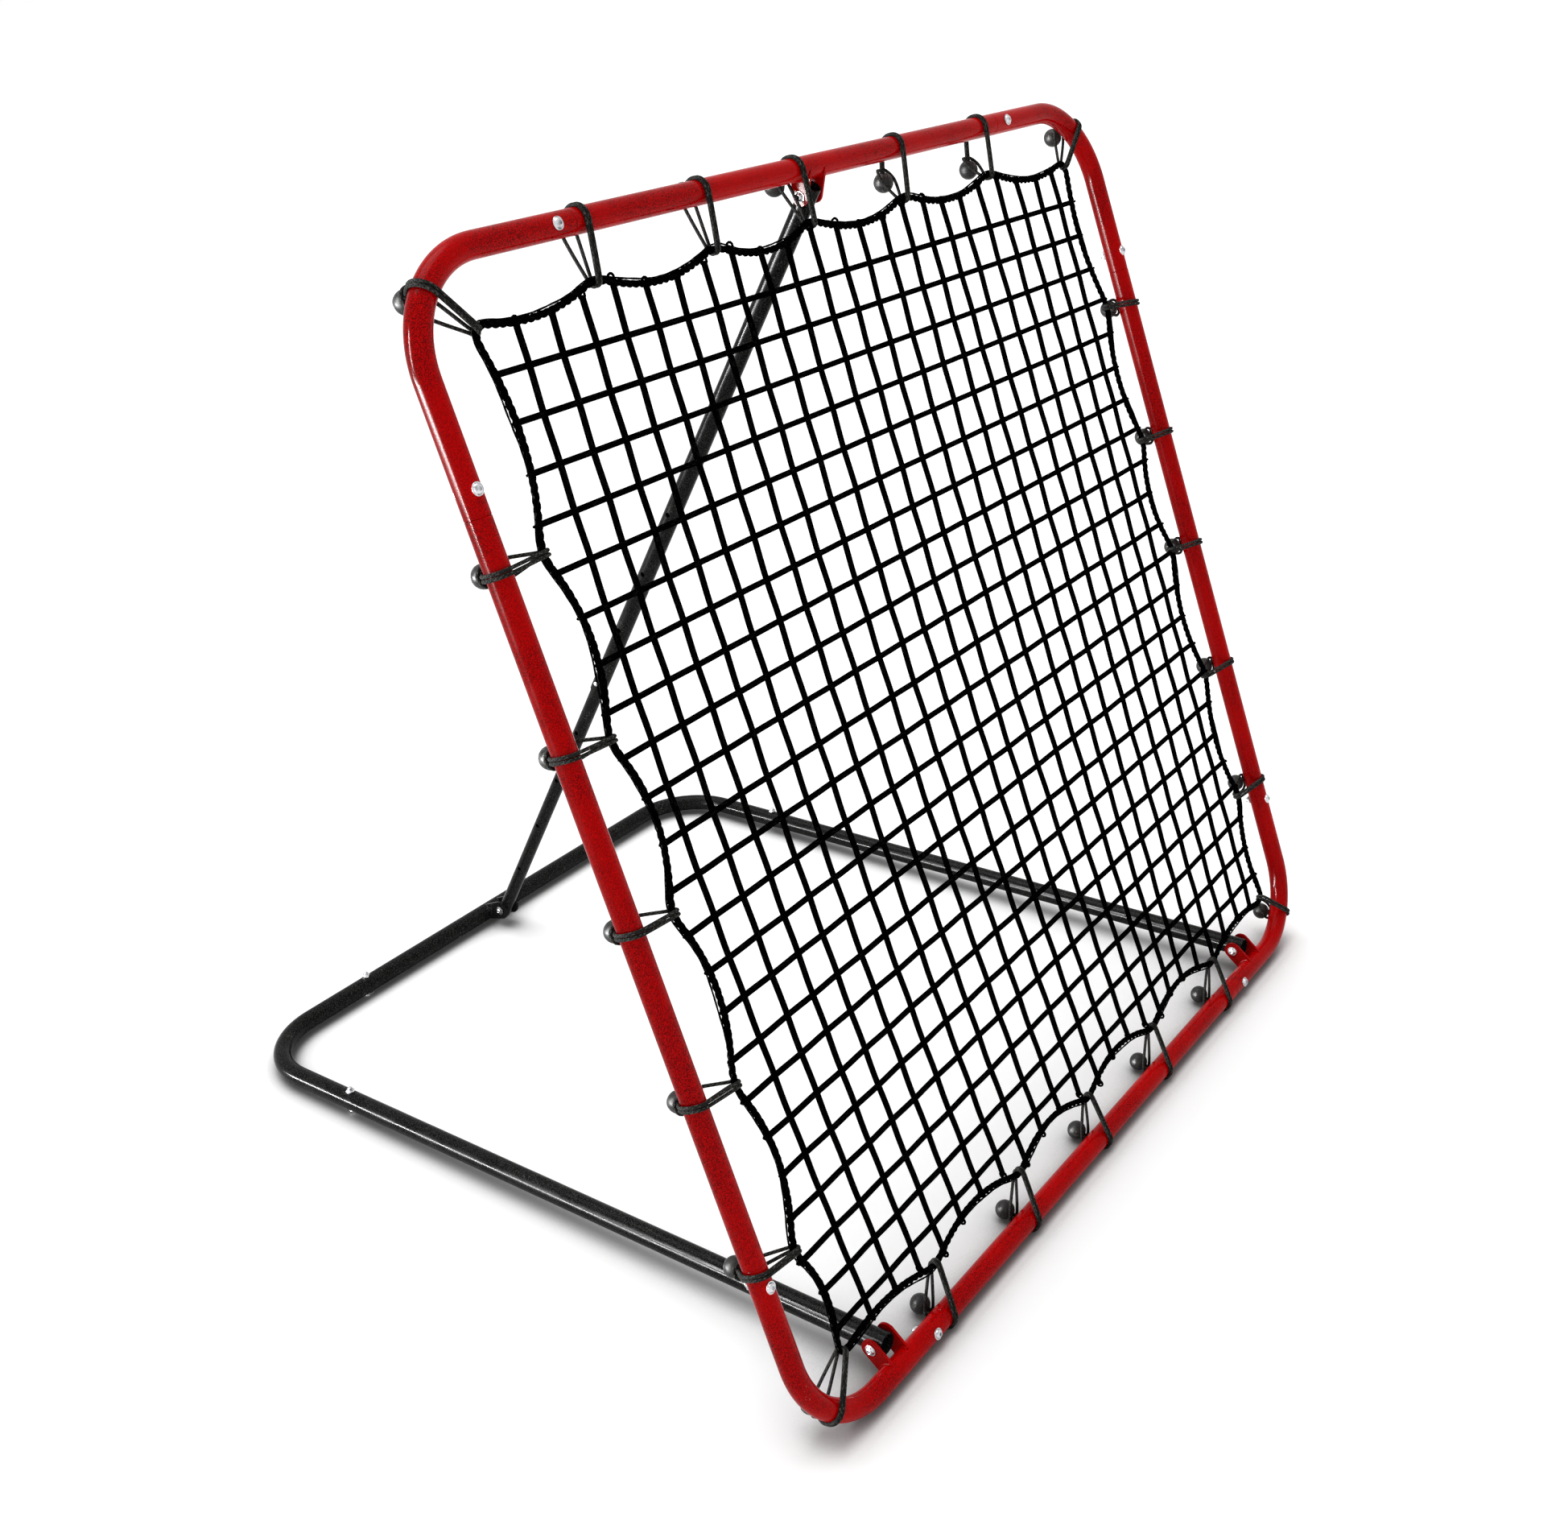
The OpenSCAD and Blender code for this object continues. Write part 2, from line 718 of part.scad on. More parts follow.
// Points of the rope from one tie to the next, hanging inwards between them
function scallop(a, b) =
  let (
    from = spot(a) + tie_half * along(a),
    to = spot(b) - tie_half * along(b),
    n = sag_points + 1
  )
  [for (i = [0 : n])
    let (u = i / n)
    from + u * (to - from) + 4 * rope_sag * u * (1 - u) * inward(a, b)];

rope_route = [for (i = [0 : len(ring_of_ties) - 1])
  each scallop(ring_of_ties[i], ring_of_ties[(i + 1) % len(ring_of_ties)])];

// Mitre at each point of a closed flat route: the step inwards by one unit
function mitre(route, i) =
  let (
    n = len(route),
    into = route[i] - route[(i + n - 1) % n],
    out = route[(i + 1) % n] - route[i],
    a = [-into[1], into[0]] / norm(into),
    b = [-out[1], out[0]] / norm(out)
  )
  (a + b) / (1 + a * b);

// Face list of a closed tube with the given numbers of rings and sides
function closed_faces(rings, sides) = [
  for (i = [0 : rings - 1])
    for (j = [0 : sides - 1])
      let (
        k = (i + 1) % rings,
        m = (j + 1) % sides,
        a = i * sides + j,
        b = i * sides + m,
        c = k * sides + m,
        d = k * sides + j
      )
      each [[a, b, c], [a, c, d]]
];

module net_border_rope() {
  sides = 6;
  points = [for (i = [0 : len(rope_route) - 1])
    let (step = mitre(rope_route, i))
    for (j = [0 : sides - 1])
      let (p = rope_route[i] + step * cos(j * 60) * rope_d / 2)
      [p[0], sin(j * 60) * rope_d / 2, p[1]]];
  color(CORD)
    leaned() translate([0, 0, frame_h / 2])
      polyhedron(points, closed_faces(len(rope_route), sides));
}

// Flat lattice of cords inside the border rope, clear of the bungees at the ties
module net() {
  step = rope_d / 2 + bungee_gap;
  edge = [for (i = [0 : len(rope_route) - 1]) rope_route[i] + step * mitre(rope_route, i)];
  cell_x = 2 * corner_x / net_cells;
  cell_up = 2 * corner_up / net_cells;
  color(CORD)
    leaned() translate([0, net_cord / 2, frame_h / 2]) rotate([90, 0, 0])
      linear_extrude(net_cord) difference() {
        polygon(edge);
        for (i = [0 : net_cells - 1])
          for (j = [0 : net_cells - 1])
            translate([
              i * cell_x - corner_x + net_cord / 2 - (i == 0 ? cell_x : 0),
              j * cell_up - corner_up + net_cord / 2 - (j == 0 ? cell_up : 0),
            ])
              square([
                cell_x - net_cord + (i == 0 || i == net_cells - 1 ? cell_x : 0),
                cell_up - net_cord + (j == 0 || j == net_cells - 1 ? cell_up : 0),
              ]);
        for (tie = ring_of_ties)
          translate(spot(tie)) circle(r = rope_d / 2 + 2 * bungee_d);
      }
}

// ---------------------------------------------------------------- bungees

// A bungee is drawn in its own frame: outwards from the tube's axis, forwards of
// the frame, and along the tube. Both halves are alike, so one is worked out.

// Corners of a route that is tangent to a circle from one angle to another
function wrap(centre, r, a0, a1, n, t) = [
  for (i = [0 : n - 1])
    let (a = a0 + (i + 0.5) * (a1 - a0) / n, reach = r / cos((a1 - a0) / (2 * n)))
    [centre[0] + reach * cos(a), centre[1] + reach * sin(a), t]
];

// Nearest place to a ball on the way between two points, kept clear of the tube
function pass_by(centre, from, to) =
  let (
    way = (to - from) / norm(to - from),
    foot = from + ((centre - from) * way) * way,
    clear = rail_wrap_r + cord_edge + 3 * bungee_gap
  )
  foot * max(1, clear / norm(foot));

// Half of a bungee: out of the ball, round the tube, round the rope and back
// past the side of the ball to the hook behind the two strands. The last number
// of each point tells whether it is drawn aside with the ball.
function half_route(ball, inset) =
  let (
    centre = [ball[0], -ball[1]],
    rope = [-inset, 0],
    a0 = meet_angle(ball),
    a1 = leave_angle(inset),
    out = [-sin(a0), cos(a0)],
    off = [cos(a0), sin(a0)],
    mouth = centre + ball_r / 3 * out,
    neck = centre + (ball_r + cord_edge + bungee_gap) * out,
    cheek = neck + 2 * off,
    hook = neck + (2 * cord_edge + 2 * bungee_gap) * off,
    flank = pass_by(centre, rope - [0, rope_wrap_r], cheek),
    room = ball_r + cord_edge + 3 * bungee_gap,
    beside = max(strand_half, sqrt(max(0, room * room - pow(norm(flank - centre), 2)))),
    gap = flank - rope,
    a2 = atan2(gap[1], gap[0]) + 360 - acos(rope_wrap_r / norm(gap))
  )
  concat(
    [[mouth[0], mouth[1], strand_half, 1]],
    wrap([0, 0], rail_wrap_r, a0, a1, rail_corners, strand_half),
    wrap(rope, rope_wrap_r, a1, a2, rope_corners, strand_half),
    [[flank[0], flank[1], beside, 1]],
    [[cheek[0], cheek[1], 3 * strand_half + bungee_gap, 1]],
    [[hook[0], hook[1], strand_half + 2 * bungee_gap, 1]]
  );

function flip(p) = [p[0], p[1], -p[2]];
function unit(v) = v / norm(v);

// Rings of a mitred tube: each corner of the section slides along its stretch
// to the plane that halves the bend
function rings(route, heads, corners, i = 0) =
  i == len(route) ? [] :
  let (
    into = heads[i],
    out = heads[i + 1],
    half = unit(into + out),
    cut = [for (w = corners) w - into * (w * half) / (into * half)],
    next = [for (v = cut) v - out * (v * out)]
  )
  concat([[for (v = cut) route[i] + v]], rings(route, heads, next, i + 1));

// The whole loop as a polyhedron in its own frame, leaning along its tube so that
// its far end reaches back to the tie
module bungee_loop(tie, inset) {
  sides = 6;
  ball = tie[4];
  half = half_route(ball, inset);
  route = [for (p = half) [p[0], p[1], p[2]]];
  last = len(route) - 1;
  heads = [
    unit(route[0] - flip(route[0])),
    for (i = [1 : last]) unit(route[i] - route[i - 1]),
    unit(flip(route[last]) - route[last]),
  ];
  a0 = meet_angle(ball);
  off = [cos(a0), sin(a0), 0];
  out = [-sin(a0), cos(a0), 0];
  corners = [for (j = [0 : sides - 1])
    cord_edge * (cos(j * 60 + 30) * off + sin(j * 60 + 30) * out)];
  aside = [for (p = half) [0, 0, tie[3] / inset * (p[3] == 1 ? ball[0] : p[0])]];
  near = rings(route, heads, corners);
  points = [
    for (i = [0 : last]) for (p = near[i]) p + aside[i],
    for (i = [last : -1 : 0]) for (p = near[i]) flip(p) + aside[i],
  ];
  polyhedron(points, closed_faces(2 * len(near), sides));
}

// Lays what is drawn in a bungee's own frame at its tie
module at_tie(tie, inset) {
  o = tie[2];
  axis = spot(tie) + inset * o + tie[3] * along(tie);
  multmatrix([
    [o[0], 0, -o[1], axis[0]],
    [0, -1, 0, 0],
    [o[1], 0, o[0], axis[1] + frame_h / 2],
    [0, 0, 0, 1],
  ])
    children();
}

// Distance from a corner tie out to the tube, at the middle of the bend
corner_reach = sqrt(2) * corner_inset - (sqrt(2) - 1) * corner_r;

module bungee_cords(tie_list, inset) {
  color(CORD)
    leaned() for (tie = tie_list)
      at_tie(tie, inset) bungee_loop(tie, inset);
}

// Ball with the blind hole that its cord's two ends are knotted in
module bungee_ball(ball, shift) {
  a0 = meet_angle(ball);
  translate([ball[0], -ball[1], shift]) rotate([0, 0, a0 + 90]) rotate([0, 90, 0])
    difference() {
      sphere(d = ball_d);
      translate([0, 0, ball_r / 10])
        cylinder(h = ball_d, r = strand_half + cord_edge + bungee_gap);
    }
}

module bungee_balls(tie_list, inset) {
  color(RUBBER)
    leaned() for (tie = tie_list)
      at_tie(tie, inset) bungee_ball(tie[4], tie[4][0] * tie[3] / inset);
}

// The bungees under the bottom tube are worn flat where the rebounder stands
module bungee_cords_bottom() {
  difference() {
    bungee_cords(ties_bottom, net_inset);
    translate([-half_w, rail_y - frame_tube_d, -frame_tube_d])
      cube([frame_w, 2 * frame_tube_d, frame_tube_d]);
  }
}

// ---------------------------------------------------------------- nodes

base_side(LEFT);  // base_side_left
base_side(RIGHT);  // base_side_right
base_corner(LEFT);  // base_corner_left
base_corner(RIGHT);  // base_corner_right
base_rear_tube();
base_bolts();
base_nuts();
frame_corner(LEFT, true);  // frame_corner_top_left
frame_corner(RIGHT, true);  // frame_corner_top_right
frame_corner(LEFT, false);  // frame_corner_bottom_left
frame_corner(RIGHT, false);  // frame_corner_bottom_right
frame_rail_top();
frame_rail_bottom();
frame_rail_side(LEFT);  // frame_rail_left
frame_rail_side(RIGHT);  // frame_rail_right
frame_bolts();
frame_nuts();
hinge_bolts();
hinge_nuts();
strut_top_bolt();
strut_top_nut();
strut_outer_tube();
strut_inner_tube();
strut_bottom_bolt();
strut_bottom_nut();
button_spring();
snap_button();
net();
net_border_rope();
bungee_cords(ties_top, net_inset);  // bungee_cords_top
bungee_cords_bottom();
bungee_cords(ties_left, net_inset);  // bungee_cords_left
bungee_cords(ties_right, net_inset);  // bungee_cords_right
bungee_cords(ties_corner, corner_reach);  // bungee_cords_corners
bungee_balls(ties_top, net_inset);  // bungee_balls_top
bungee_balls(ties_bottom, net_inset);  // bungee_balls_bottom
bungee_balls(ties_left, net_inset);  // bungee_balls_left
bungee_balls(ties_right, net_inset);  // bungee_balls_right
bungee_balls(ties_corner, corner_reach);  // bungee_balls_corners
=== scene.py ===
"""Dresses a ball rebounder: paint, net, ropes, bungees, fasteners and a plain studio."""

import json
import math
import random

import bmesh
import bpy
import numpy as np
from bpy.props import FloatProperty, FloatVectorProperty, IntProperty, PointerProperty
from mathutils import Matrix, Vector


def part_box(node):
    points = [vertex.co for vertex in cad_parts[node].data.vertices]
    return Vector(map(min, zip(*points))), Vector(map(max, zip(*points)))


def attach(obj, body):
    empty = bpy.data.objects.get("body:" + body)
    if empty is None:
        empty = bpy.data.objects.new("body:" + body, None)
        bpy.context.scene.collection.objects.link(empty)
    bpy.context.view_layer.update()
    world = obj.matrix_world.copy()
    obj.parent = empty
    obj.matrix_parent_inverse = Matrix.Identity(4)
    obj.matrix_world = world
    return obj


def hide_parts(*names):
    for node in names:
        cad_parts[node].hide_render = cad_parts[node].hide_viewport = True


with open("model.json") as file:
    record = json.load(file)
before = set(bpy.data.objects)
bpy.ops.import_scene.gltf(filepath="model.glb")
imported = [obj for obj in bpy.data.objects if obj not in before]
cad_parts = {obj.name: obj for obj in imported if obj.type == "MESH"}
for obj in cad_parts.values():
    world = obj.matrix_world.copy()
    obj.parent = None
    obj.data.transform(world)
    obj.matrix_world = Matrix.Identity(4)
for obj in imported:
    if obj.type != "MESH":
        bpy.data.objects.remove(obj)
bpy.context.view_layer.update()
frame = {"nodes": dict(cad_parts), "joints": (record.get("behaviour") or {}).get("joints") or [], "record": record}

bl_info = {
    "name": "Ball Rebounder",
    "version": (1, 0, 0),
    "blender": (4, 5, 0),
    "location": "View3D > Sidebar > Rebounder",
    "description": "Builds the looks of a net rebounder around its packed frame",
    "category": "Object",
}

# ------------------------------------------------------------------ the frame

# The bottom tube lies along X, so its box gives its axis and its radius
RAIL_LOW, RAIL_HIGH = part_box("frame_rail_bottom")
RAIL_Y = (RAIL_LOW.y + RAIL_HIGH.y) / 2
RAIL_Z = (RAIL_LOW.z + RAIL_HIGH.z) / 2
TUBE_R = (RAIL_HIGH.z - RAIL_LOW.z) / 2
LEAN = math.radians(18.5)
FRAME_SIDE = 1.195
HALF_FRAME = FRAME_SIDE / 2
FRAME_JOINT = 0.220
CORNER_R = 0.100

# The rear tube of the base lies along X; the base slopes up to the hinges
REAR_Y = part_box("base_corner_left")[1].y - TUBE_R
REAR_Z = 0.0166
HINGE = Vector(frame["joints"][0]["pos_m"])
HALF_BASE = 0.458
BASE_JOINT = 0.230
BASE_SLOPE = math.atan2(HINGE.z - REAR_Z, REAR_Y - HINGE.y)
TOP_PIVOT = Vector(frame["joints"][1]["pos_m"])
JOINT_BOLT = 0.024
RIGHT = Vector((1, 0, 0))

# Half the distance between the outer faces that each fastener clamps
TUBE_GRIP = TUBE_R
HINGE_GRIP = 0.0162
TOP_GRIP = 0.0146
LOW_GRIP = 0.013425
# Play of a fastener against what it clamps
BOLT_SEAT = 0.0001

# Ties of the net: distance in from the tubes, how far each crept from even spacing,
# and how far its bungee crosses the tube beyond it
NET_INSET = 0.055
CORNER_INSET = 0.068
CREEP_MM = {
    "top": (-14, -14, -25, -19, -8),
    "bottom": (-6, 0, -7, -9, 1),
    "left": (-45, -34, -27, -27, -25),
    "right": (-18, -10, -2, -22, -15),
}
SLANT_MM = {
    "top": (-3, -2, 4, -5, -1),
    "bottom": (-10, -8, 0, -5, -5),
    "left": (-11.5, -10, -7, -5, 1),
    "right": (0, -2, -7, -3, -7),
}
# Places of the bungee balls: outwards from the tube's axis and behind it
BALLS_MM = {
    "top": ((3, 26.8), (4, 27), (-8, 30), (-33, 23.2), (-43, 25.5)),
    "bottom": ((-8, 32),) * 5,
    "left": ((-5.5, 34),) + ((-5.5, 26.5),) * 4,
    "right": ((-5.5, 26.5),) * 5,
    "corners": ((-2, 27),) * 4,
}
OUTWARD = {"top": (0, 1), "bottom": (0, -1), "left": (-1, 0), "right": (1, 0)}
# Share of the usual sag in each span of the rope, from the lower left corner on
SPAN_SHARES = (
    0.62, 1.0, 1.0, 1.0, 1.0, 0.70, 0.75, 1.0, 1.0, 1.0, 1.0, 0.80,
    0.75, 0.80, 0.80, 0.82, 0.80, 0.60, 0.90, 1.0, 1.0, 1.0, 1.0, 0.72,
)
# The level cords' slope across the net, at its middle and how it changes upwards
LEVEL_TILT = 0.0041
LEVEL_FAN = -0.0110
# Where across the net its uprights stop bowing, how gently they do, and the height
# and half the length of their bow
BOW_END = 0.26
BOW_EASE = 0.12
BOW_MIDDLE = 0.05
BOW_HALF = 0.48
MM = 0.001

# The bungee cord of the frame: half its width on flats and on corners, its play,
# half the spacing of the two strands at a ball, and its reach round tube and rope
CORD_FLAT = 0.001615
CORD_EDGE = CORD_FLAT / math.cos(math.pi / 6)
CORD_GAP = 0.0003
STRAND_HALF = CORD_EDGE + 0.00025
RAIL_WRAP = TUBE_R + CORD_GAP + CORD_FLAT
ROPE_WRAP = 0.004 + CORD_GAP + CORD_FLAT

# The camera's place and lens, and in degrees its heading from +Y towards +X, how far
# it looks down and how it is turned about its view
CAMERA_PLACE = (-1.59898, -1.33526, 1.40158)
CAMERA_HEADING = 53.655
CAMERA_DIP = 26.020
CAMERA_ROLL = -2.829
CAMERA_LENS = 40.53
CAMERA_SHIFT = (-0.0374, 0.0003)


def on_net(across, up, out=0.0):
    """Point of the leaning net frame, up from its bottom tube and out to its front."""
    return Vector((
        across,
        RAIL_Y + up * math.sin(LEAN) - out * math.cos(LEAN),
        RAIL_Z + up * math.cos(LEAN) + out * math.sin(LEAN),
    ))


def on_base(across, ahead, above=0.0):
    """Point of the sloping base, ahead of its rear tube and above its plane."""
    return Vector((
        across,
        REAR_Y - ahead * math.cos(BASE_SLOPE) + above * math.sin(BASE_SLOPE),
        REAR_Z + ahead * math.sin(BASE_SLOPE) + above * math.cos(BASE_SLOPE),
    ))


# ------------------------------------------------------------------ settings


class RebounderNetSettings(bpy.types.PropertyGroup):
    """Sizes of the net and of the ropes round it"""

    cells: IntProperty(name="Cells", description="Net cells across and up", default=24)
    cord_d: FloatProperty(
        name="Cord", description="Thickness of the net's cords", default=0.0065, unit="LENGTH"
    )
    weave: FloatProperty(
        name="Weave", description="How far each cord passes over the next",
        default=0.0005, unit="LENGTH",
    )
    spread: FloatProperty(
        name="Spread", description="How far the uprights nearest the sides crept outwards",
        default=0.008, unit="LENGTH",
    )
    slip: FloatProperty(
        name="Slip", description="How far the middle level cord slipped down",
        default=0.006, unit="LENGTH",
    )
    stray: FloatProperty(
        name="Stray", description="How unevenly the cords are spaced",
        default=0.0015, unit="LENGTH",
    )
    bow: FloatProperty(
        name="Bow", description="How far the uprights' ends draw in from their middles",
        default=0.015, unit="LENGTH",
    )
    rope_d: FloatProperty(
        name="Rope", description="Thickness of the border rope", default=0.0076, unit="LENGTH"
    )
    lay: FloatProperty(
        name="Lay", description="Length of one turn of the rope's strands",
        default=0.026, unit="LENGTH",
    )
    sag: FloatProperty(
        name="Sag", description="Depth of the border rope's curve between ties",
        default=0.021, unit="LENGTH",
    )
    lace_d: FloatProperty(
        name="Lacing", description="Thickness of the cord laced along the rope",
        default=0.0020, unit="LENGTH",
    )


class RebounderBungeeSettings(bpy.types.PropertyGroup):
    """Sizes of the bungee loops and their balls"""

    cord_d: FloatProperty(
        name="Cord", description="Thickness of the bungee cord", default=0.0037, unit="LENGTH"
    )
    ball_d: FloatProperty(
        name="Ball", description="Diameter of the balls", default=0.023, unit="LENGTH"
    )


class RebounderFastenerSettings(bpy.types.PropertyGroup):
    """Sizes of the bolts and nuts"""

    head_d: FloatProperty(
        name="Head", description="Diameter of the flanged heads", default=0.013, unit="LENGTH"
    )
    head_h: FloatProperty(
        name="Height", description="Height of the heads", default=0.0038, unit="LENGTH"
    )
    shank_d: FloatProperty(
        name="Shank", description="Diameter of the shanks", default=0.006, unit="LENGTH"
    )
    nut_flats: FloatProperty(
        name="Nut", description="Width of the nuts across flats", default=0.010, unit="LENGTH"
    )
    nut_h: FloatProperty(
        name="Nut height", description="Height of the nuts", default=0.005, unit="LENGTH"
    )


class RebounderColourSettings(bpy.types.PropertyGroup):
    """Colours of the finishes"""

    red: FloatVectorProperty(
        name="Red paint", description="Colour of the net frame", subtype="COLOR",
        default=(0.56, 0.0006, 0.0008),
    )
    red_deep: FloatVectorProperty(
        name="Deep red", description="Colour of the paint where it is thick",
        subtype="COLOR", default=(0.13, 0.0004, 0.0012),
    )
    black: FloatVectorProperty(
        name="Black coat", description="Colour of the base and strut", subtype="COLOR",
        default=(0.0015, 0.0015, 0.0015),
    )
    black_worn: FloatVectorProperty(
        name="Worn black", description="Colour of the coat where it is rubbed",
        subtype="COLOR", default=(0.034, 0.033, 0.032),
    )
    zinc: FloatVectorProperty(
        name="Zinc", description="Colour of the plated fasteners", subtype="COLOR",
        default=(0.64, 0.64, 0.66),
    )
    cord: FloatVectorProperty(
        name="Net cord", description="Colour of the net and its rope", subtype="COLOR",
        default=(0.0010, 0.0010, 0.0010),
    )
    bungee: FloatVectorProperty(
        name="Bungee", description="Colour of the bungee cord", subtype="COLOR",
        default=(0.016, 0.016, 0.014),
    )
    fleck: FloatVectorProperty(
        name="Fleck", description="Colour of the pale yarns in the cords",
        subtype="COLOR", default=(0.085, 0.085, 0.075),
    )
    rubber: FloatVectorProperty(
        name="Rubber", description="Colour of the balls", subtype="COLOR",
        default=(0.014, 0.013, 0.013),
    )


class RebounderStageSettings(bpy.types.PropertyGroup):
    """Floor, backdrop and lamps"""

    floor: FloatProperty(
        name="Floor", description="Size of the floor", default=90.0, unit="LENGTH"
    )
    sky: FloatProperty(name="Sky", description="Light from all round", default=0.52)
    sun: FloatProperty(name="Sun", description="Strength of the soft sun", default=1.85)
    streak: FloatProperty(
        name="Streak", description="Strength of the panels that show in the gloss", default=260.0
    )


def settings():
    """The scene's settings for the rebounder."""
    return bpy.context.scene.rebounder


class RebounderSettings(bpy.types.PropertyGroup):
    """All settings of the rebounder"""

    net: PointerProperty(type=RebounderNetSettings)
    bungee: PointerProperty(type=RebounderBungeeSettings)
    fastener: PointerProperty(type=RebounderFastenerSettings)
    colour: PointerProperty(type=RebounderColourSettings)
    stage: PointerProperty(type=RebounderStageSettings)


# ------------------------------------------------------------------ node groups


def shader_node(tree, kind, **values):
    """Adds a node and sets its properties and unlinked inputs by name."""
    made = tree.nodes.new(kind)
    for name, value in values.items():
        if hasattr(made, name):
            setattr(made, name, value)
        else:
            made.inputs[name.replace("_", " ")].default_value = value
    return made


def math_node(tree, operation, *terms):
    """Adds a Math node; each term is a number or a socket. Returns its output."""
    made = shader_node(tree, "ShaderNodeMath", operation=operation)
    for socket, term in zip(made.inputs, terms):
        if isinstance(term, (int, float)):
            socket.default_value = term
        else:
            tree.links.new(term, socket)
    return made.outputs[0]


def ranged(tree, source, low, high, to_low=0.0, to_high=1.0):
    """Maps a value from one range to another, and returns the output."""
    made = shader_node(tree, "ShaderNodeMapRange", interpolation_type="SMOOTHSTEP")
    tree.links.new(source, made.inputs["Value"])
    for name, value in (
        ("From Min", low), ("From Max", high), ("To Min", to_low), ("To Max", to_high)
    ):
        made.inputs[name].default_value = value
    return made.outputs["Result"]


def new_group(name, inputs, outputs):
    """Starts a shader node group of float sockets; returns it with its two ends."""
    group = bpy.data.node_groups.new(name, "ShaderNodeTree")
    for label, default in inputs.items():
        socket = group.interface.new_socket(
            name=label, in_out="INPUT", socket_type="NodeSocketFloat"
        )
        socket.default_value = default
    for label in outputs:
        group.interface.new_socket(
            name=label, in_out="OUTPUT", socket_type="NodeSocketFloat"
        )
    return group, group.nodes.new("NodeGroupInput"), group.nodes.new("NodeGroupOutput")


def noise_over(tree, coordinates, scale, detail=3.0, stretch=(1, 1, 1)):
    """Noise over coordinates; scale is a number or a socket. Returns its value."""
    mapping = shader_node(tree, "ShaderNodeMapping")
    mapping.inputs["Scale"].default_value = stretch
    tree.links.new(coordinates, mapping.inputs["Vector"])
    noise = shader_node(tree, "ShaderNodeTexNoise", Detail=detail)
    tree.links.new(mapping.outputs[0], noise.inputs["Vector"])
    if isinstance(scale, (int, float)):
        noise.inputs["Scale"].default_value = scale
    else:
        tree.links.new(scale, noise.inputs["Scale"])
    return noise.outputs["Fac"]


def coat_group():
    """Sprayed coat: broad mottle, fine grain and ripple, and small rubbed scuffs."""
    group, given, result = new_group(
        "Sprayed coat",
        {"Mottle": 14.0, "Grain": 900.0, "Scuffs": 0.66},
        ("Mottle", "Grain", "Scuffs", "Height"),
    )
    place = shader_node(group, "ShaderNodeTexCoord").outputs["Object"]
    ripple_scale, patch_scale, speck_scale = 260.0, 34.0, 410.0
    scuff_start, ripple_share, grain_share = 0.62, 0.7, 0.3
    mottle = noise_over(group, place, given.outputs["Mottle"])
    grain = noise_over(group, place, given.outputs["Grain"], 2.0)
    ripple = noise_over(group, place, ripple_scale, 1.0)
    patches = noise_over(group, place, patch_scale, 6.0)
    specks = noise_over(group, place, speck_scale, 4.0)
    scuff = math_node(group, "MULTIPLY", patches, specks)
    start = math_node(group, "MULTIPLY", given.outputs["Scuffs"], scuff_start)
    edge = math_node(group, "SUBTRACT", scuff, start)
    ripples = math_node(group, "MULTIPLY", ripple, ripple_share)
    grains = math_node(group, "MULTIPLY", grain, grain_share)
    height = math_node(group, "ADD", ripples, grains)
    group.links.new(ranged(group, mottle, 0.35, 0.65), result.inputs["Mottle"])
    group.links.new(ranged(group, grain, 0.36, 0.64), result.inputs["Grain"])
    group.links.new(ranged(group, edge, 0.0, 0.03), result.inputs["Scuffs"])
    group.links.new(height, result.inputs["Height"])


def braid_group():
    """Braided cord on a UV of turns round and metres along: strand height, yarn flecks and painted shade across
    the strands.
    """
    group, given, result = new_group(
        "Braid", {"Strands": 4.0, "Pitch": 0.006, "Flecks": 0.6}, ("Height", "Flecks", "Shade")
    )
    uv = shader_node(group, "ShaderNodeUVMap", uv_map="UVMap")
    split = shader_node(group, "ShaderNodeSeparateXYZ")
    group.links.new(uv.outputs[0], split.inputs[0])
    turns = math_node(group, "MULTIPLY", split.outputs["X"], given.outputs["Strands"])
    steps = math_node(group, "DIVIDE", split.outputs["Y"], given.outputs["Pitch"])
    waves = []
    for operation in ("ADD", "SUBTRACT"):
        phase = math_node(group, operation, steps, turns)
        wave = math_node(group, "SINE", math_node(group, "MULTIPLY", phase, math.tau))
        waves.append(wave)
    height = math_node(group, "MAXIMUM", *waves)
    # Painted shade: a pattern that darkens the cord across its crossing strands
    shade = math_node(group, "MULTIPLY", *waves)
    cells = shader_node(group, "ShaderNodeCombineXYZ")
    for socket, count in ((cells.inputs[0], turns), (cells.inputs[1], steps)):
        doubled = math_node(group, "MULTIPLY", count, 2.0)
        group.links.new(math_node(group, "FLOOR", doubled), socket)
    random_yarn = shader_node(group, "ShaderNodeTexWhiteNoise", noise_dimensions="2D")
    group.links.new(cells.outputs[0], random_yarn.inputs["Vector"])
    picked = math_node(
        group, "GREATER_THAN", random_yarn.outputs["Value"], given.outputs["Flecks"]
    )
    # Painted shade: the pale yarns fade off the strands' crowns into the grooves
    lit = math_node(group, "MULTIPLY", picked, ranged(group, height, 0.1, 0.9))
    group.links.new(height, result.inputs["Height"])
    group.links.new(lit, result.inputs["Flecks"])
    group.links.new(ranged(group, shade, -1.0, 1.0), result.inputs["Shade"])


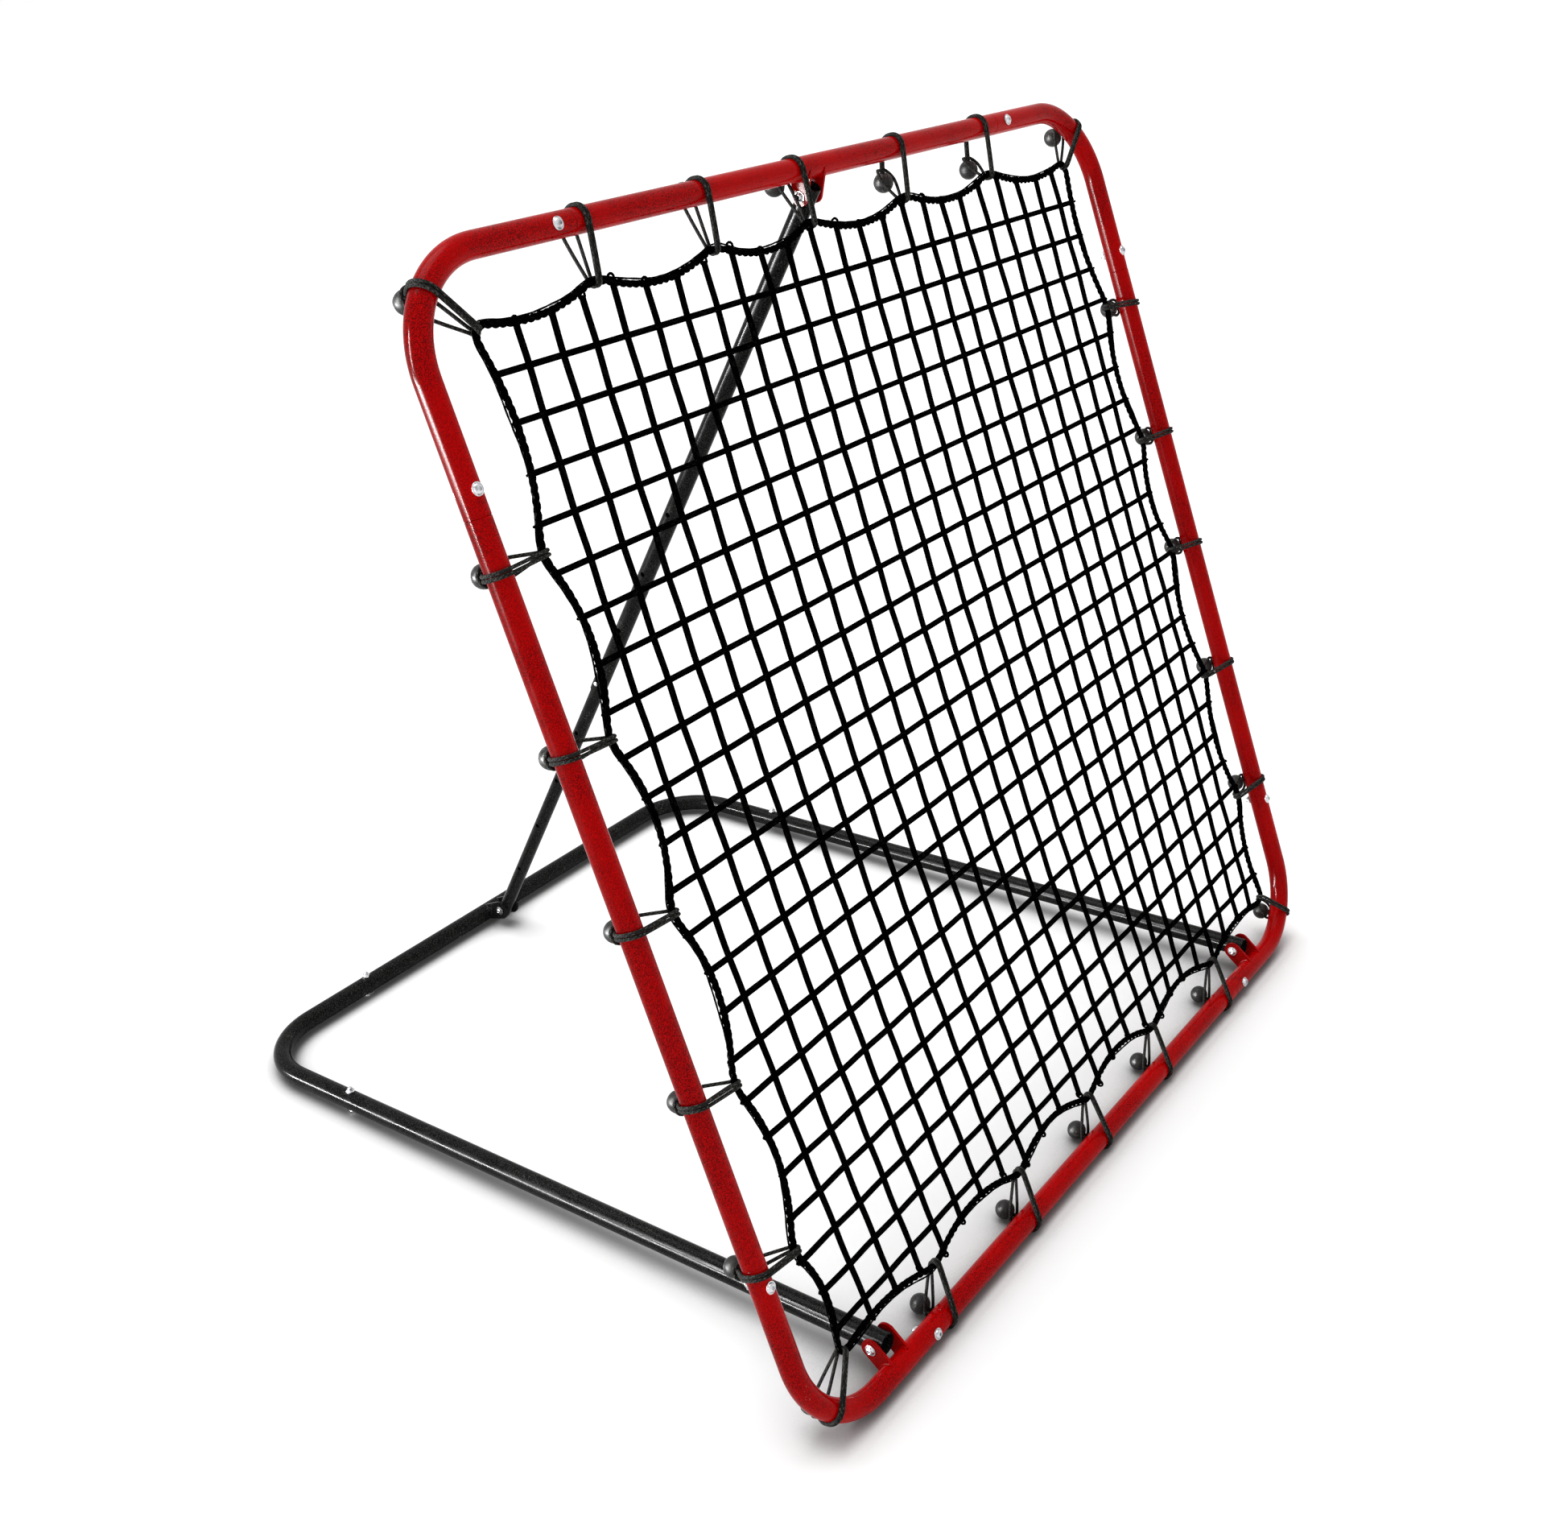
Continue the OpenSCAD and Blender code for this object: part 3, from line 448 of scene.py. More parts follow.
def plating_group():
    """Bright plating: faint turning marks, water spots and a dulled bloom."""
    group, given, result = new_group(
        "Plating", {"Marks": 1800.0, "Bloom": 160.0}, ("Marks", "Bloom", "Height")
    )
    place = shader_node(group, "ShaderNodeTexCoord").outputs["Object"]
    marks = noise_over(group, place, given.outputs["Marks"], 2.0)
    bloom = noise_over(group, place, given.outputs["Bloom"], 4.0)
    group.links.new(ranged(group, marks, 0.3, 0.7), result.inputs["Marks"])
    group.links.new(ranged(group, bloom, 0.42, 0.66), result.inputs["Bloom"])
    group.links.new(marks, result.inputs["Height"])


def use_group(tree, name, **values):
    """Places a shared node group in a material with its own values."""
    made = tree.nodes.new("ShaderNodeGroup")
    made.node_tree = bpy.data.node_groups[name]
    for label, value in values.items():
        made.inputs[label].default_value = value
    return made


# ------------------------------------------------------------------ materials

# Roughness of each finish: where it is smoothest, and where it is dullest
RED_ROUGH = (0.13, 0.21)
BLACK_ROUGH = (0.16, 0.26)
RUBBER_ROUGH = (0.34, 0.48)
CORD_ROUGH = (0.95, 0.78)
# Colours of rubbed and dusty places
RED_RUBBED = (0.34, 0.05, 0.045)
BLACK_RUBBED = (0.06, 0.06, 0.056)
RUBBER_GREY = (0.05, 0.047, 0.046)
RUBBER_DUST = (0.13, 0.125, 0.12)


def start_material(name, **values):
    """A fresh material in place of the plain one: its tree and its Principled BSDF."""
    plain = bpy.data.materials.get(name)
    if plain is not None:
        bpy.data.materials.remove(plain)
    material = bpy.data.materials.new(name)
    material.use_nodes = True
    tree = material.node_tree
    shader = tree.nodes["Principled BSDF"]
    for label, value in values.items():
        shader.inputs[label.replace("_", " ")].default_value = value
    return tree, shader


def mixed_colour(tree, factor, first, second):
    """Mixes two colours; each is a tuple or a socket. Returns the output."""
    made = shader_node(tree, "ShaderNodeMix", data_type="RGBA")
    tree.links.new(factor, made.inputs["Factor"])
    for socket, value in ((made.inputs[6], first), (made.inputs[7], second)):
        if isinstance(value, bpy.types.NodeSocket):
            tree.links.new(value, socket)
        else:
            socket.default_value = (*value, 1.0)
    return made.outputs[2]


def bump(tree, shader, height, strength, distance):
    """Feeds a height to the shader's normal."""
    made = shader_node(tree, "ShaderNodeBump", Strength=strength, Distance=distance)
    tree.links.new(height, made.inputs["Height"])
    tree.links.new(made.outputs[0], shader.inputs["Normal"])


def red_paint():
    """Glossy red paint with a deep base, fine grain and a few dull rub marks."""
    colour = settings().colour
    tree, shader = start_material("red_paint", Specular_IOR_Level=0.042)
    coat = use_group(tree, "Sprayed coat", Mottle=9.0, Grain=850.0, Scuffs=0.70)
    base = mixed_colour(tree, coat.outputs["Grain"], colour.red_deep, colour.red)
    haze = ranged(tree, coat.outputs["Mottle"], 0.0, 1.0, 0.0, 0.45)
    broad = mixed_colour(tree, haze, base, colour.red)
    worn = mixed_colour(tree, coat.outputs["Scuffs"], broad, RED_RUBBED)
    tree.links.new(worn, shader.inputs["Base Color"])
    rough = ranged(tree, coat.outputs["Mottle"], 0.0, 1.0, *RED_ROUGH)
    tree.links.new(rough, shader.inputs["Roughness"])
    bump(tree, shader, coat.outputs["Height"], 0.05, 0.0003)


def black_coat():
    """Black powder coat: pebbled satin, rubbed grey here and there."""
    colour = settings().colour
    tree, shader = start_material("black_powder_coat", Specular_IOR_Level=0.04)
    coat = use_group(tree, "Sprayed coat", Mottle=22.0, Grain=760.0, Scuffs=0.60)
    pebbles = math_node(tree, "POWER", coat.outputs["Grain"], 2.4)
    base = mixed_colour(tree, pebbles, colour.black, colour.black_worn)
    worn = mixed_colour(tree, coat.outputs["Scuffs"], base, BLACK_RUBBED)
    tree.links.new(worn, shader.inputs["Base Color"])
    rough = ranged(tree, coat.outputs["Mottle"], 0.0, 1.0, *BLACK_ROUGH)
    tree.links.new(rough, shader.inputs["Roughness"])
    bump(tree, shader, coat.outputs["Height"], 0.16, 0.0003)


def plated(name, tint, dull, rough):
    """Plated steel that dulls in blotches."""
    tree, shader = start_material(name, Metallic=1.0)
    plating = use_group(tree, "Plating")
    tree.links.new(
        mixed_colour(tree, plating.outputs["Bloom"], tint, dull), shader.inputs["Base Color"]
    )
    level = ranged(tree, plating.outputs["Marks"], 0.0, 1.0, rough, rough + 0.10)
    tree.links.new(level, shader.inputs["Roughness"])
    bump(tree, shader, plating.outputs["Height"], 0.12, 0.0002)


def corded(name, colour, fleck, strands, pitch, flecks, relief, gloss):
    """Braided cord with painted shade across its strands; flecks is the share of yarns that stay dark."""
    tree, shader = start_material(name, Specular_IOR_Level=gloss)
    braid = use_group(tree, "Braid", Strands=strands, Pitch=pitch, Flecks=flecks)
    # Painted shade: the cord's colour darkens to under half where the braid's Shade pattern is low
    dark = tuple(0.45 * c for c in colour)
    base = mixed_colour(tree, braid.outputs["Shade"], dark, colour)
    tree.links.new(
        mixed_colour(tree, braid.outputs["Flecks"], base, fleck), shader.inputs["Base Color"]
    )
    rough = ranged(tree, braid.outputs["Shade"], 0.0, 1.0, *CORD_ROUGH)
    tree.links.new(rough, shader.inputs["Roughness"])
    bump(tree, shader, braid.outputs["Height"], 0.8, relief)


def ball_rubber():
    """Dull moulded rubber with a dusty grain."""
    colour = settings().colour
    tree, shader = start_material("ball_rubber", Specular_IOR_Level=0.16)
    coat = use_group(tree, "Sprayed coat", Mottle=130.0, Grain=1500.0, Scuffs=0.55)
    base = mixed_colour(tree, coat.outputs["Grain"], colour.rubber, RUBBER_GREY)
    dusty = mixed_colour(tree, coat.outputs["Scuffs"], base, RUBBER_DUST)
    tree.links.new(dusty, shader.inputs["Base Color"])
    rough = ranged(tree, coat.outputs["Mottle"], 0.0, 1.0, *RUBBER_ROUGH)
    tree.links.new(rough, shader.inputs["Roughness"])
    bump(tree, shader, coat.outputs["Height"], 0.5, 0.0003)


def make_materials():
    """Builds the shared node groups and every finish by its slot's name."""
    colour = settings().colour
    coat_group()
    braid_group()
    plating_group()
    red_paint()
    black_coat()
    plated("zinc_plate", tuple(colour.zinc), (0.34, 0.34, 0.36), 0.20)
    plated("black_oxide", (0.10, 0.10, 0.105), (0.05, 0.05, 0.05), 0.30)
    plated("spring_steel", (0.42, 0.42, 0.44), (0.30, 0.30, 0.31), 0.28)
    corded("net_cord", tuple(colour.cord), (0.005, 0.005, 0.005), 4.0, 0.009, 0.80, 0.0003, 0.0)
    corded(
        "bungee_cord", tuple(colour.bungee), tuple(colour.fleck), 4.0, 0.0044, 0.72, 0.0005, 0.12
    )
    corded("lacing", (0.004, 0.004, 0.004), (0.12, 0.12, 0.11), 3.0, 0.0050, 0.90, 0.0004, 0.0)
    ball_rubber()


def dress(piece, material):
    """Gives a piece one of the finishes by name."""
    piece.data.materials.clear()
    piece.data.materials.append(bpy.data.materials[material])
    return piece


# ------------------------------------------------------------------ mesh helpers


def carriers(path, closed):
    """Frames that carry a section along a path with the least twist, as an array."""
    points = np.array([tuple(p) for p in path], float)
    count = len(points)
    if closed:
        heads = np.roll(points, -1, 0) - np.roll(points, 1, 0)
    else:
        heads = np.gradient(points, axis=0)
    heads /= np.linalg.norm(heads, axis=1)[:, None]
    side = np.array(Vector(heads[0]).orthogonal().normalized())
    sides = np.zeros_like(points)
    for i in range(count):
        side = side - heads[i] * (heads[i] @ side)
        side = side / np.linalg.norm(side)
        sides[i] = side
    if closed:
        last = side - heads[0] * (heads[0] @ side)
        over = np.cross(heads[0], sides[0])
        twist = math.atan2(last @ over, last @ sides[0])
        turn = (-twist * np.arange(count) / count)[:, None]
        sides = sides * np.cos(turn) + np.cross(heads, sides) * np.sin(turn)
    return points, sides, np.cross(heads, sides)


def cords(name, runs, sides):
    """Mesh of round cords. A run is (path, radii, closed); radii may be one number.

    The UV map counts turns round the cord and metres along it.
    """
    around = np.arange(sides) * math.tau / sides
    verts, faces, uvs, start = [], [], [], 0
    for path, radii, closed in runs:
        points, side, over = carriers(path, closed)
        count = len(points)
        reach = np.broadcast_to(np.asarray(radii, float), (count,))[:, None, None]
        ring = (
            side[:, None] * np.cos(around)[None, :, None]
            + over[:, None] * np.sin(around)[None, :, None]
        )
        verts.append((points[:, None] + ring * reach).reshape(-1, 3))
        steps = np.linalg.norm(np.diff(points, axis=0), axis=1)
        along = np.concatenate(([0.0], np.cumsum(steps)))
        if closed:
            along = np.append(along, along[-1] + np.linalg.norm(points[0] - points[-1]))
        spans = count if closed else count - 1
        for i in range(spans):
            k = (i + 1) % count
            for j in range(sides):
                m = (j + 1) % sides
                faces.append((
                    start + i * sides + j, start + i * sides + m,
                    start + k * sides + m, start + k * sides + j,
                ))
                u, v = j / sides, (j + 1) / sides
                uvs += [(u, along[i]), (v, along[i]), (v, along[i + 1]), (u, along[i + 1])]
        if not closed:
            last = start + (count - 1) * sides
            faces.append(tuple(start + j for j in reversed(range(sides))))
            faces.append(tuple(last + j for j in range(sides)))
            uvs += [(0.5, 0.0)] * sides + [(0.5, along[-1])] * sides
        start += count * sides
    mesh = bpy.data.meshes.new(name)
    mesh.from_pydata(np.concatenate(verts).tolist(), [], faces)
    layer = mesh.uv_layers.new(name="UVMap")
    layer.data.foreach_set("uv", np.array(uvs, np.float32).ravel())
    mesh.polygons.foreach_set("use_smooth", np.ones(len(mesh.polygons), bool))
    mesh.update()
    piece = bpy.data.objects.new(name, mesh)
    bpy.context.scene.collection.objects.link(piece)
    return piece


def from_bmesh(name, bm, smooth_angle=35.0):
    """Makes an object of a bmesh, with faces out and edges sharp past an angle."""
    bmesh.ops.remove_doubles(bm, verts=bm.verts, dist=1e-7)
    bmesh.ops.recalc_face_normals(bm, faces=bm.faces)
    mesh = bpy.data.meshes.new(name)
    bm.to_mesh(mesh)
    bm.free()
    mesh.polygons.foreach_set("use_smooth", np.ones(len(mesh.polygons), bool))
    mesh.set_sharp_from_angle(angle=math.radians(smooth_angle))
    piece = bpy.data.objects.new(name, mesh)
    bpy.context.scene.collection.objects.link(piece)
    return piece


def lathe(bm, profile, steps=32):
    """Spins a profile of (radius, height) points round Z into a closed skin."""
    points = [bm.verts.new((r, 0.0, z)) for r, z in profile]
    edges = [bm.edges.new(pair) for pair in zip(points, points[1:])]
    bmesh.ops.spin(
        bm, geom=points + edges, cent=(0, 0, 0), axis=(0, 0, 1), angle=math.tau,
        steps=steps, use_merge=True,
    )
    bmesh.ops.remove_doubles(bm, verts=bm.verts, dist=1e-7)


def arc(centre, radius, start, end, steps):
    """Points of an arc in a plane, as (x, y) pairs."""
    angles = np.linspace(start, end, steps)
    return [
        (centre[0] + radius * math.cos(a), centre[1] + radius * math.sin(a)) for a in angles
    ]


# ------------------------------------------------------------------ ties and rope


def even(i, count):
    """Even spacing of count ties between -0.5 and 0.5."""
    return (i + 1) / (count + 1) - 0.5


CORNER_TIE = HALF_FRAME - CORNER_INSET
SIDE_TIE = HALF_FRAME - NET_INSET
# Thickness of the rope's strands and reach of their helix, as shares of the rope's
STRAND_SHARE = 0.262
HELIX_SHARE = 0.248
# Spacing of points along the rope and along its lacing
ROPE_STEP = 0.0030
LACE_STEP = 0.0040


def side_ties(side):
    """Ties of one side: (place, outward direction, slant of the bungee, ball's place)."""
    out = Vector(OUTWARD[side])
    ties = []
    for i, (creep, slant, ball) in enumerate(
        zip(CREEP_MM[side], SLANT_MM[side], BALLS_MM[side])
    ):
        far = 2 * CORNER_TIE * even(i, len(CREEP_MM[side])) + creep * MM
        place = out * SIDE_TIE + Vector((far, 0) if out.x == 0 else (0, far))
        ties.append((place, out, slant * MM, Vector((ball[0], -ball[1])) * MM))
    return ties


def corner_ties():
    """The four corner ties, anticlockwise from the lower left."""
    ball = Vector((BALLS_MM["corners"][0][0], -BALLS_MM["corners"][0][1])) * MM
    return [
        (Vector((x, y)) * CORNER_TIE, Vector((x, y)).normalized(), 0.0, ball)
        for x, y in ((-1, -1), (1, -1), (1, 1), (-1, 1))
    ]


def ring_of_ties():
    """Every tie in turn, anticlockwise from the lower left corner."""
    corners = corner_ties()
    return [
        corners[0], *side_ties("bottom"), corners[1], *side_ties("right"),
        corners[2], *reversed(side_ties("top")), corners[3], *reversed(side_ties("left")),
    ]


def rope_route(steps=26):
    """Closed flat route of the border rope: straight at each tie, sagging between."""
    ties = ring_of_ties()
    held = 0.005
    route = []
    for i, (place, out, *_rest) in enumerate(ties):
        after, out_after = ties[(i + 1) % len(ties)][:2]
        start = place + held * Vector((-out.y, out.x))
        end = after - held * Vector((-out_after.y, out_after.x))
        inward = (after - place).orthogonal().normalized()
        depth = settings().net.sag * SPAN_SHARES[i]
        for k in range(steps):
            u = k / (steps - 1)
            sag = 4 * depth * u * (1 - u)
            route.append(start.lerp(end, u) + sag * inward)
    return route


def smoothed(route, passes):
    """Closed route with its corners eased by averaging neighbours."""
    points = np.array([tuple(p) for p in route])
    for _ in range(passes):
        points = 0.5 * points + 0.25 * (np.roll(points, 1, 0) + np.roll(points, -1, 0))
    return points


def eased_rope():
    """The rope's route with the corners at its ties eased."""
    return smoothed(rope_route(), 3)


def respaced(points, step):
    """Closed route sampled again at an even step."""
    points = np.vstack([points, points[:1]])
    steps = np.linalg.norm(np.diff(points, axis=0), axis=1)
    along = np.concatenate(([0.0], np.cumsum(steps)))
    want = np.linspace(0, along[-1], round(along[-1] / step), endpoint=False)
    return np.stack([np.interp(want, along, points[:, i]) for i in range(points.shape[1])], 1)


def flat_normals(points):
    """Inward normals of a closed flat route that runs anticlockwise."""
    heads = np.roll(points, -1, 0) - np.roll(points, 1, 0)
    heads /= np.linalg.norm(heads, axis=1)[:, None]
    return np.stack([-heads[:, 1], heads[:, 0]], 1)


def lifted(points, out):
    """Flat points about the net's centre, placed on the leaning frame."""
    outs = np.broadcast_to(out, (len(points),))
    return [on_net(p[0], p[1] + HALF_FRAME, o) for p, o in zip(points, outs)]


def build_rope():
    """Border rope of three laid strands."""
    net = settings().net
    strand_r = net.rope_d * STRAND_SHARE
    helix_r = net.rope_d * HELIX_SHARE
    points = respaced(eased_rope(), ROPE_STEP)
    normals = flat_normals(points)
    turns = round(len(points) * ROPE_STEP / net.lay)
    runs = []
    for strand in range(3):
        angle = np.arange(len(points)) / len(points) * turns * math.tau + strand * math.tau / 3
        shifted = points + normals * (helix_r * np.cos(angle))[:, None]
        runs.append((lifted(shifted, helix_r * np.sin(angle)), strand_r, True))
    return cords("border_rope", runs, 7)


def build_lacing():
    """Thin rough cord laced along the outer side of the rope, lifting off here and there."""
    net = settings().net
    chance = random.Random(5)
    points = respaced(eased_rope(), LACE_STEP)
    normals = flat_normals(points)
    for _ in range(8):
        normals = (np.roll(normals, 1, 0) + 2 * normals + np.roll(normals, -1, 0)) / 4
    count = len(points)
    turns = np.arange(count)
    knots = 150
    lift = 0.0011
    drift = np.array([max(0.0, chance.uniform(-1.6, 1.0)) for _ in range(knots)])
    slack = np.interp(turns / count * knots, np.arange(knots), drift)
    away = net.rope_d / 2 + net.lace_d * 0.25 + lift * slack
    out = 0.0014 * np.sin(turns * 0.21) + 0.0008 * np.sin(turns * 0.083)
    shifted = points - normals * away[:, None]
    thick = net.lace_d / 2 * (1 + 0.12 * np.sin(turns * 1.3))
    return cords("border_lacing", [(lifted(shifted, out), thick, True)], 7)


# ------------------------------------------------------------------ net


def cord_lines():
    """Places of the net's inner cords, a little uneven: the uprights, then the levels."""
    net = settings().net
    chance = random.Random(7)
    uprights, levels = [], []
    for i in range(1, net.cells):
        far = 2 * i / net.cells - 1
        ease = math.sin(math.pi / 2 * far)
        shifts = (net.spread * ease, net.slip * (0.7 * ease - 1))
        for places, crept in zip((uprights, levels), shifts):
            places.append(CORNER_TIE * far + crept + chance.uniform(-net.stray, net.stray))
    return [uprights, levels]


def crossings(route, axis, at):
    """Where a closed flat route crosses a line, sorted, as the other coordinate."""
    found = []
    for p, q in zip(route, np.roll(route, -1, 0)):
        if (p[axis] - at) * (q[axis] - at) < 0:
            share = (at - p[axis]) / (q[axis] - p[axis])
            found.append(p[1 - axis] + share * (q[1 - axis] - p[1 - axis]))
    return sorted(found)


def bowed(x, y):
    """Uprights draw in at their ends, except those at the right."""
    share = clamped_share((BOW_END - x) / BOW_EASE)
    reach = (y - BOW_MIDDLE) / BOW_HALF
    return x + settings().net.bow * share * reach * reach


def tilted(x, y):
    """Levels slope a little across the net, the more so the lower they are."""
    return y + x * (LEVEL_TILT + LEVEL_FAN * y / CORNER_TIE)


def clamped_share(value):
    """A share kept between none and all."""
    return min(1.0, max(0.0, value))


def build_net():
    """Every cord of the net from rope to rope, woven over and under."""
    net = settings().net
    route = eased_rope()
    cell = 2 * CORNER_TIE / net.cells
    columns, rows = cord_lines()
    runs, ends = [], []
    for way, lines in ((0, columns), (1, rows)):
        for i, at in enumerate(lines):
            met = crossings(route, way, at)
            low, high = met[0], met[-1]
            count = round((high - low) / (cell / 6))
            path = []
            for k in range(count + 1):
                far = low + (high - low) * k / count
                phase = (far + CORNER_TIE) / cell + i + 1
                over = net.weave * math.cos(math.pi * phase)
                x, y = (bowed(at, far), far) if way == 0 else (far, tilted(far, at))
                path.append(on_net(x, y + HALF_FRAME, over if way == 0 else -over))
            runs.append((path, net.cord_d / 2, False))
            ends += [(path[0], path[1]), (path[-1], path[-2])]
    piece = cords("net_cords", runs, 8)
    return piece, ends


def build_end_loops(ends):
    """The small eye with which each cord's end is looped over the rope."""
    net = settings().net
    out = on_net(0, 0, 1) - on_net(0, 0, 0)
    eye_r = net.rope_d / 2 + 0.0002
    steps = 10
    runs = []
    for end, inner in ends:
        head = (inner - end).normalized()
        path = []
        for k in range(steps):
            angle = k / steps * math.tau
            path.append(end + head * eye_r * math.cos(angle) + out * eye_r * math.sin(angle))
        runs.append((path, net.cord_d * 0.22, True))
    return cords("net_end_loops", runs, 6)


# ------------------------------------------------------------------ bungees


def meet_angle(ball):
    """Angle at which a bungee from its ball meets the tube, from the outward direction."""
    return math.atan2(ball.y, ball.x) + math.acos(RAIL_WRAP / ball.length)


def bungee_route(ball, inset):
    """Half of a bungee's loop in its own frame: outwards, forwards and along.

    The last number of each point is the outward place that sets how far it is drawn
    along the tube: its own, or its ball's where it goes with the ball.
    """
    ball_r = settings().bungee.ball_d / 2
    rope = Vector((-inset, 0))
    meet = meet_angle(ball)
    leave = math.pi - math.acos((RAIL_WRAP - ROPE_WRAP) / inset)
    out = Vector((-math.sin(meet), math.cos(meet)))
    off = Vector((math.cos(meet), math.sin(meet)))
    neck = ball + (ball_r + CORD_EDGE + CORD_GAP) * out
    cheek = neck + 0.002 * off
    hook = neck + 2 * (CORD_EDGE + CORD_GAP) * off
    start = rope - Vector((0, ROPE_WRAP))
    way = (cheek - start).normalized()
    foot = start + (ball - start).dot(way) * way
    flank = foot * max(1.0, (RAIL_WRAP + CORD_EDGE + 3 * CORD_GAP) / foot.length)
    room = ball_r + CORD_EDGE + 3 * CORD_GAP
    beside = max(STRAND_HALF, math.sqrt(max(0.0, room**2 - (flank - ball).length_squared)))
    gap = flank - rope
    back = math.atan2(gap.y, gap.x) + math.tau - math.acos(ROPE_WRAP / gap.length)
    route = [(*(ball + share * ball_r * out), STRAND_HALF, ball.x) for share in (0.2, 0.7, 1.0)]
    route += [(*p, STRAND_HALF, p[0]) for p in arc((0, 0), RAIL_WRAP, meet, leave, 16)]
    route += [(*p, STRAND_HALF, p[0]) for p in arc(rope, ROPE_WRAP, leave, back, 10)]
    route += [(*flank, beside, ball.x), (*cheek, 3 * STRAND_HALF + CORD_GAP, ball.x)]
    route += [(*hook, STRAND_HALF + 2 * CORD_GAP, ball.x)]
    return route


def flowing(points, step):
    """Open path drawn smoothly through points, at about an even step."""
    pts = np.array(points, float)
    full = np.vstack([2 * pts[0] - pts[1], pts, 2 * pts[-1] - pts[-2]])
    out = []
    for i in range(1, len(full) - 2):
        a, b, c, d = full[i - 1], full[i], full[i + 1], full[i + 2]
        pairs = ((a, b), (b, c), (c, d))
        ab, bc, cd = (max(np.linalg.norm(q - p), 1e-9) ** 0.5 for p, q in pairs)
        m1 = (c - b) + bc * ((b - a) / ab - (c - a) / (ab + bc))
        m2 = (c - b) + bc * ((d - c) / cd - (d - b) / (bc + cd))
        count = max(1, math.ceil(np.linalg.norm(c - b) / step))
        for k in range(count):
            t = k / count
            out.append(
                (2 * t**3 - 3 * t**2 + 1) * b + (t**3 - 2 * t**2 + t) * m1
                + (3 * t**2 - 2 * t**3) * c + (t**3 - t**2) * m2
            )
    out.append(pts[-1])
    return np.array(out)


def tie_place(tie, inset, point):
    """Point of a bungee's own frame, placed at its tie."""
    place, out, slant, _ball = tie
    along = Vector((-out.y, out.x))
    drawn = slant * (1 + point[3] / inset)
    flat = place + out * (inset + point[0]) + along * (drawn + point[2])
    return on_net(flat.x, flat.y + HALF_FRAME, point[1])


def corner_reach():
    """Distance from a corner tie out to the tube, at the middle of the bend."""
    return math.sqrt(2) * CORNER_INSET - (math.sqrt(2) - 1) * CORNER_R


def sides_of_bungees():
    """Each group of bungees: its name, its ties and their distance to the tube."""
    groups = [(side, side_ties(side), NET_INSET) for side in OUTWARD]
    return [*groups, ("corners", corner_ties(), corner_reach())]


def build_bungee_cords(side, ties, inset):
    """The loops of one side: out of the ball, over the tube, round the rope and back."""
    runs = []
    for tie in ties:
        half = flowing(bungee_route(tie[3], inset), 0.0035)
        loop = np.vstack([half, half[::-1] * (1, 1, -1, 1)])
        path = [tie_place(tie, inset, p) for p in loop]
        runs.append((path, settings().bungee.cord_d / 2, True))
    piece = cords(f"bungee_cord_{side}", runs, 10)
    if side == "bottom":
        for vertex in piece.data.vertices:
            vertex.co.z = max(vertex.co.z, 0.0)
    return piece


def ball_profile():
    """Half outline of a ball: a fine parting ridge and a mouth where the cord enters."""
    radius = settings().bungee.ball_d / 2
    mouth = 0.0046
    top = math.acos(mouth / radius)
    outline = [(0.0, -radius)]
    ridge_r, ridge_half, ridge_angle = radius + 0.00022, 0.00018, 0.035
    outline += arc((0, 0), radius, -math.pi / 2 + 0.15, -ridge_angle, 13)
    outline += [(ridge_r, -ridge_half), (ridge_r, ridge_half)]
    outline += arc((0, 0), radius, ridge_angle, top - 0.08, 11)
    lip = radius * math.sin(top)
    outline += [(mouth + 0.0004, lip - 0.0001), (mouth, lip - 0.0009)]
    outline += [(mouth - 0.0004, lip - 0.004), (0.0, lip - 0.0046)]
    return outline


def build_balls(side, ties, inset):
    """The balls of one side, each with its mouth towards the tube."""
    bm = bmesh.new()
    for tie in ties:
        ball = tie[3]
        meet = meet_angle(ball)
        centre = tie_place(tie, inset, (ball.x, ball.y, 0, ball.x))
        ahead = tie_place(
            tie, inset, (ball.x - math.sin(meet), ball.y + math.cos(meet), 0, ball.x)
        )
        head = (ahead - centre).normalized()
        one = bmesh.new()
        lathe(one, ball_profile(), 36)
        place = Matrix.Translation(centre) @ head.to_track_quat("Z", "Y").to_matrix().to_4x4()
        bmesh.ops.transform(one, matrix=place, verts=one.verts)
        merge_into(bm, one)
    return from_bmesh(f"bungee_balls_of_{side}", bm, 40.0)


def merge_into(bm, other):
    """Adds another bmesh's geometry to a bmesh, and frees the other."""
    mesh = bpy.data.meshes.new("part")
    other.to_mesh(mesh)
    other.free()
    bm.from_mesh(mesh)
    bpy.data.meshes.remove(mesh)


# ------------------------------------------------------------------ fasteners


def bolt_bmesh(grip):
    """Flanged button-head bolt: underside of its head at the origin, shank along +Z."""
    size = settings().fastener
    r, h, shank = size.head_d / 2, size.head_h, size.shank_d / 2
    dome_r = r - 0.0013
    flange_h = 0.0011
    dome_angle, dome_rise = math.radians(62), 0.883
    socket_r = 0.0019
    profile = [(0.0, grip), (shank - 0.0006, grip), (shank, grip - 0.0006), (shank, 0.0)]
    profile += [(r - 0.0002, 0.0), (r, -0.0003), (r, -0.0007), (r - 0.0003, -0.0010)]
    profile += [(dome_r + 0.0002, -flange_h)]
    for k in range(1, 8):
        angle = k / 8 * dome_angle
        rise = (h - flange_h) * math.sin(angle) / dome_rise
        profile.append((dome_r * math.cos(angle), -flange_h - rise))
    profile += [(socket_r + 0.0004, -h), (socket_r, -h + 0.0002)]
    profile += [(socket_r, -h + 0.0018), (0.0, -h + 0.0022)]
    bm = bmesh.new()
    lathe(bm, profile, 28)
    return bm


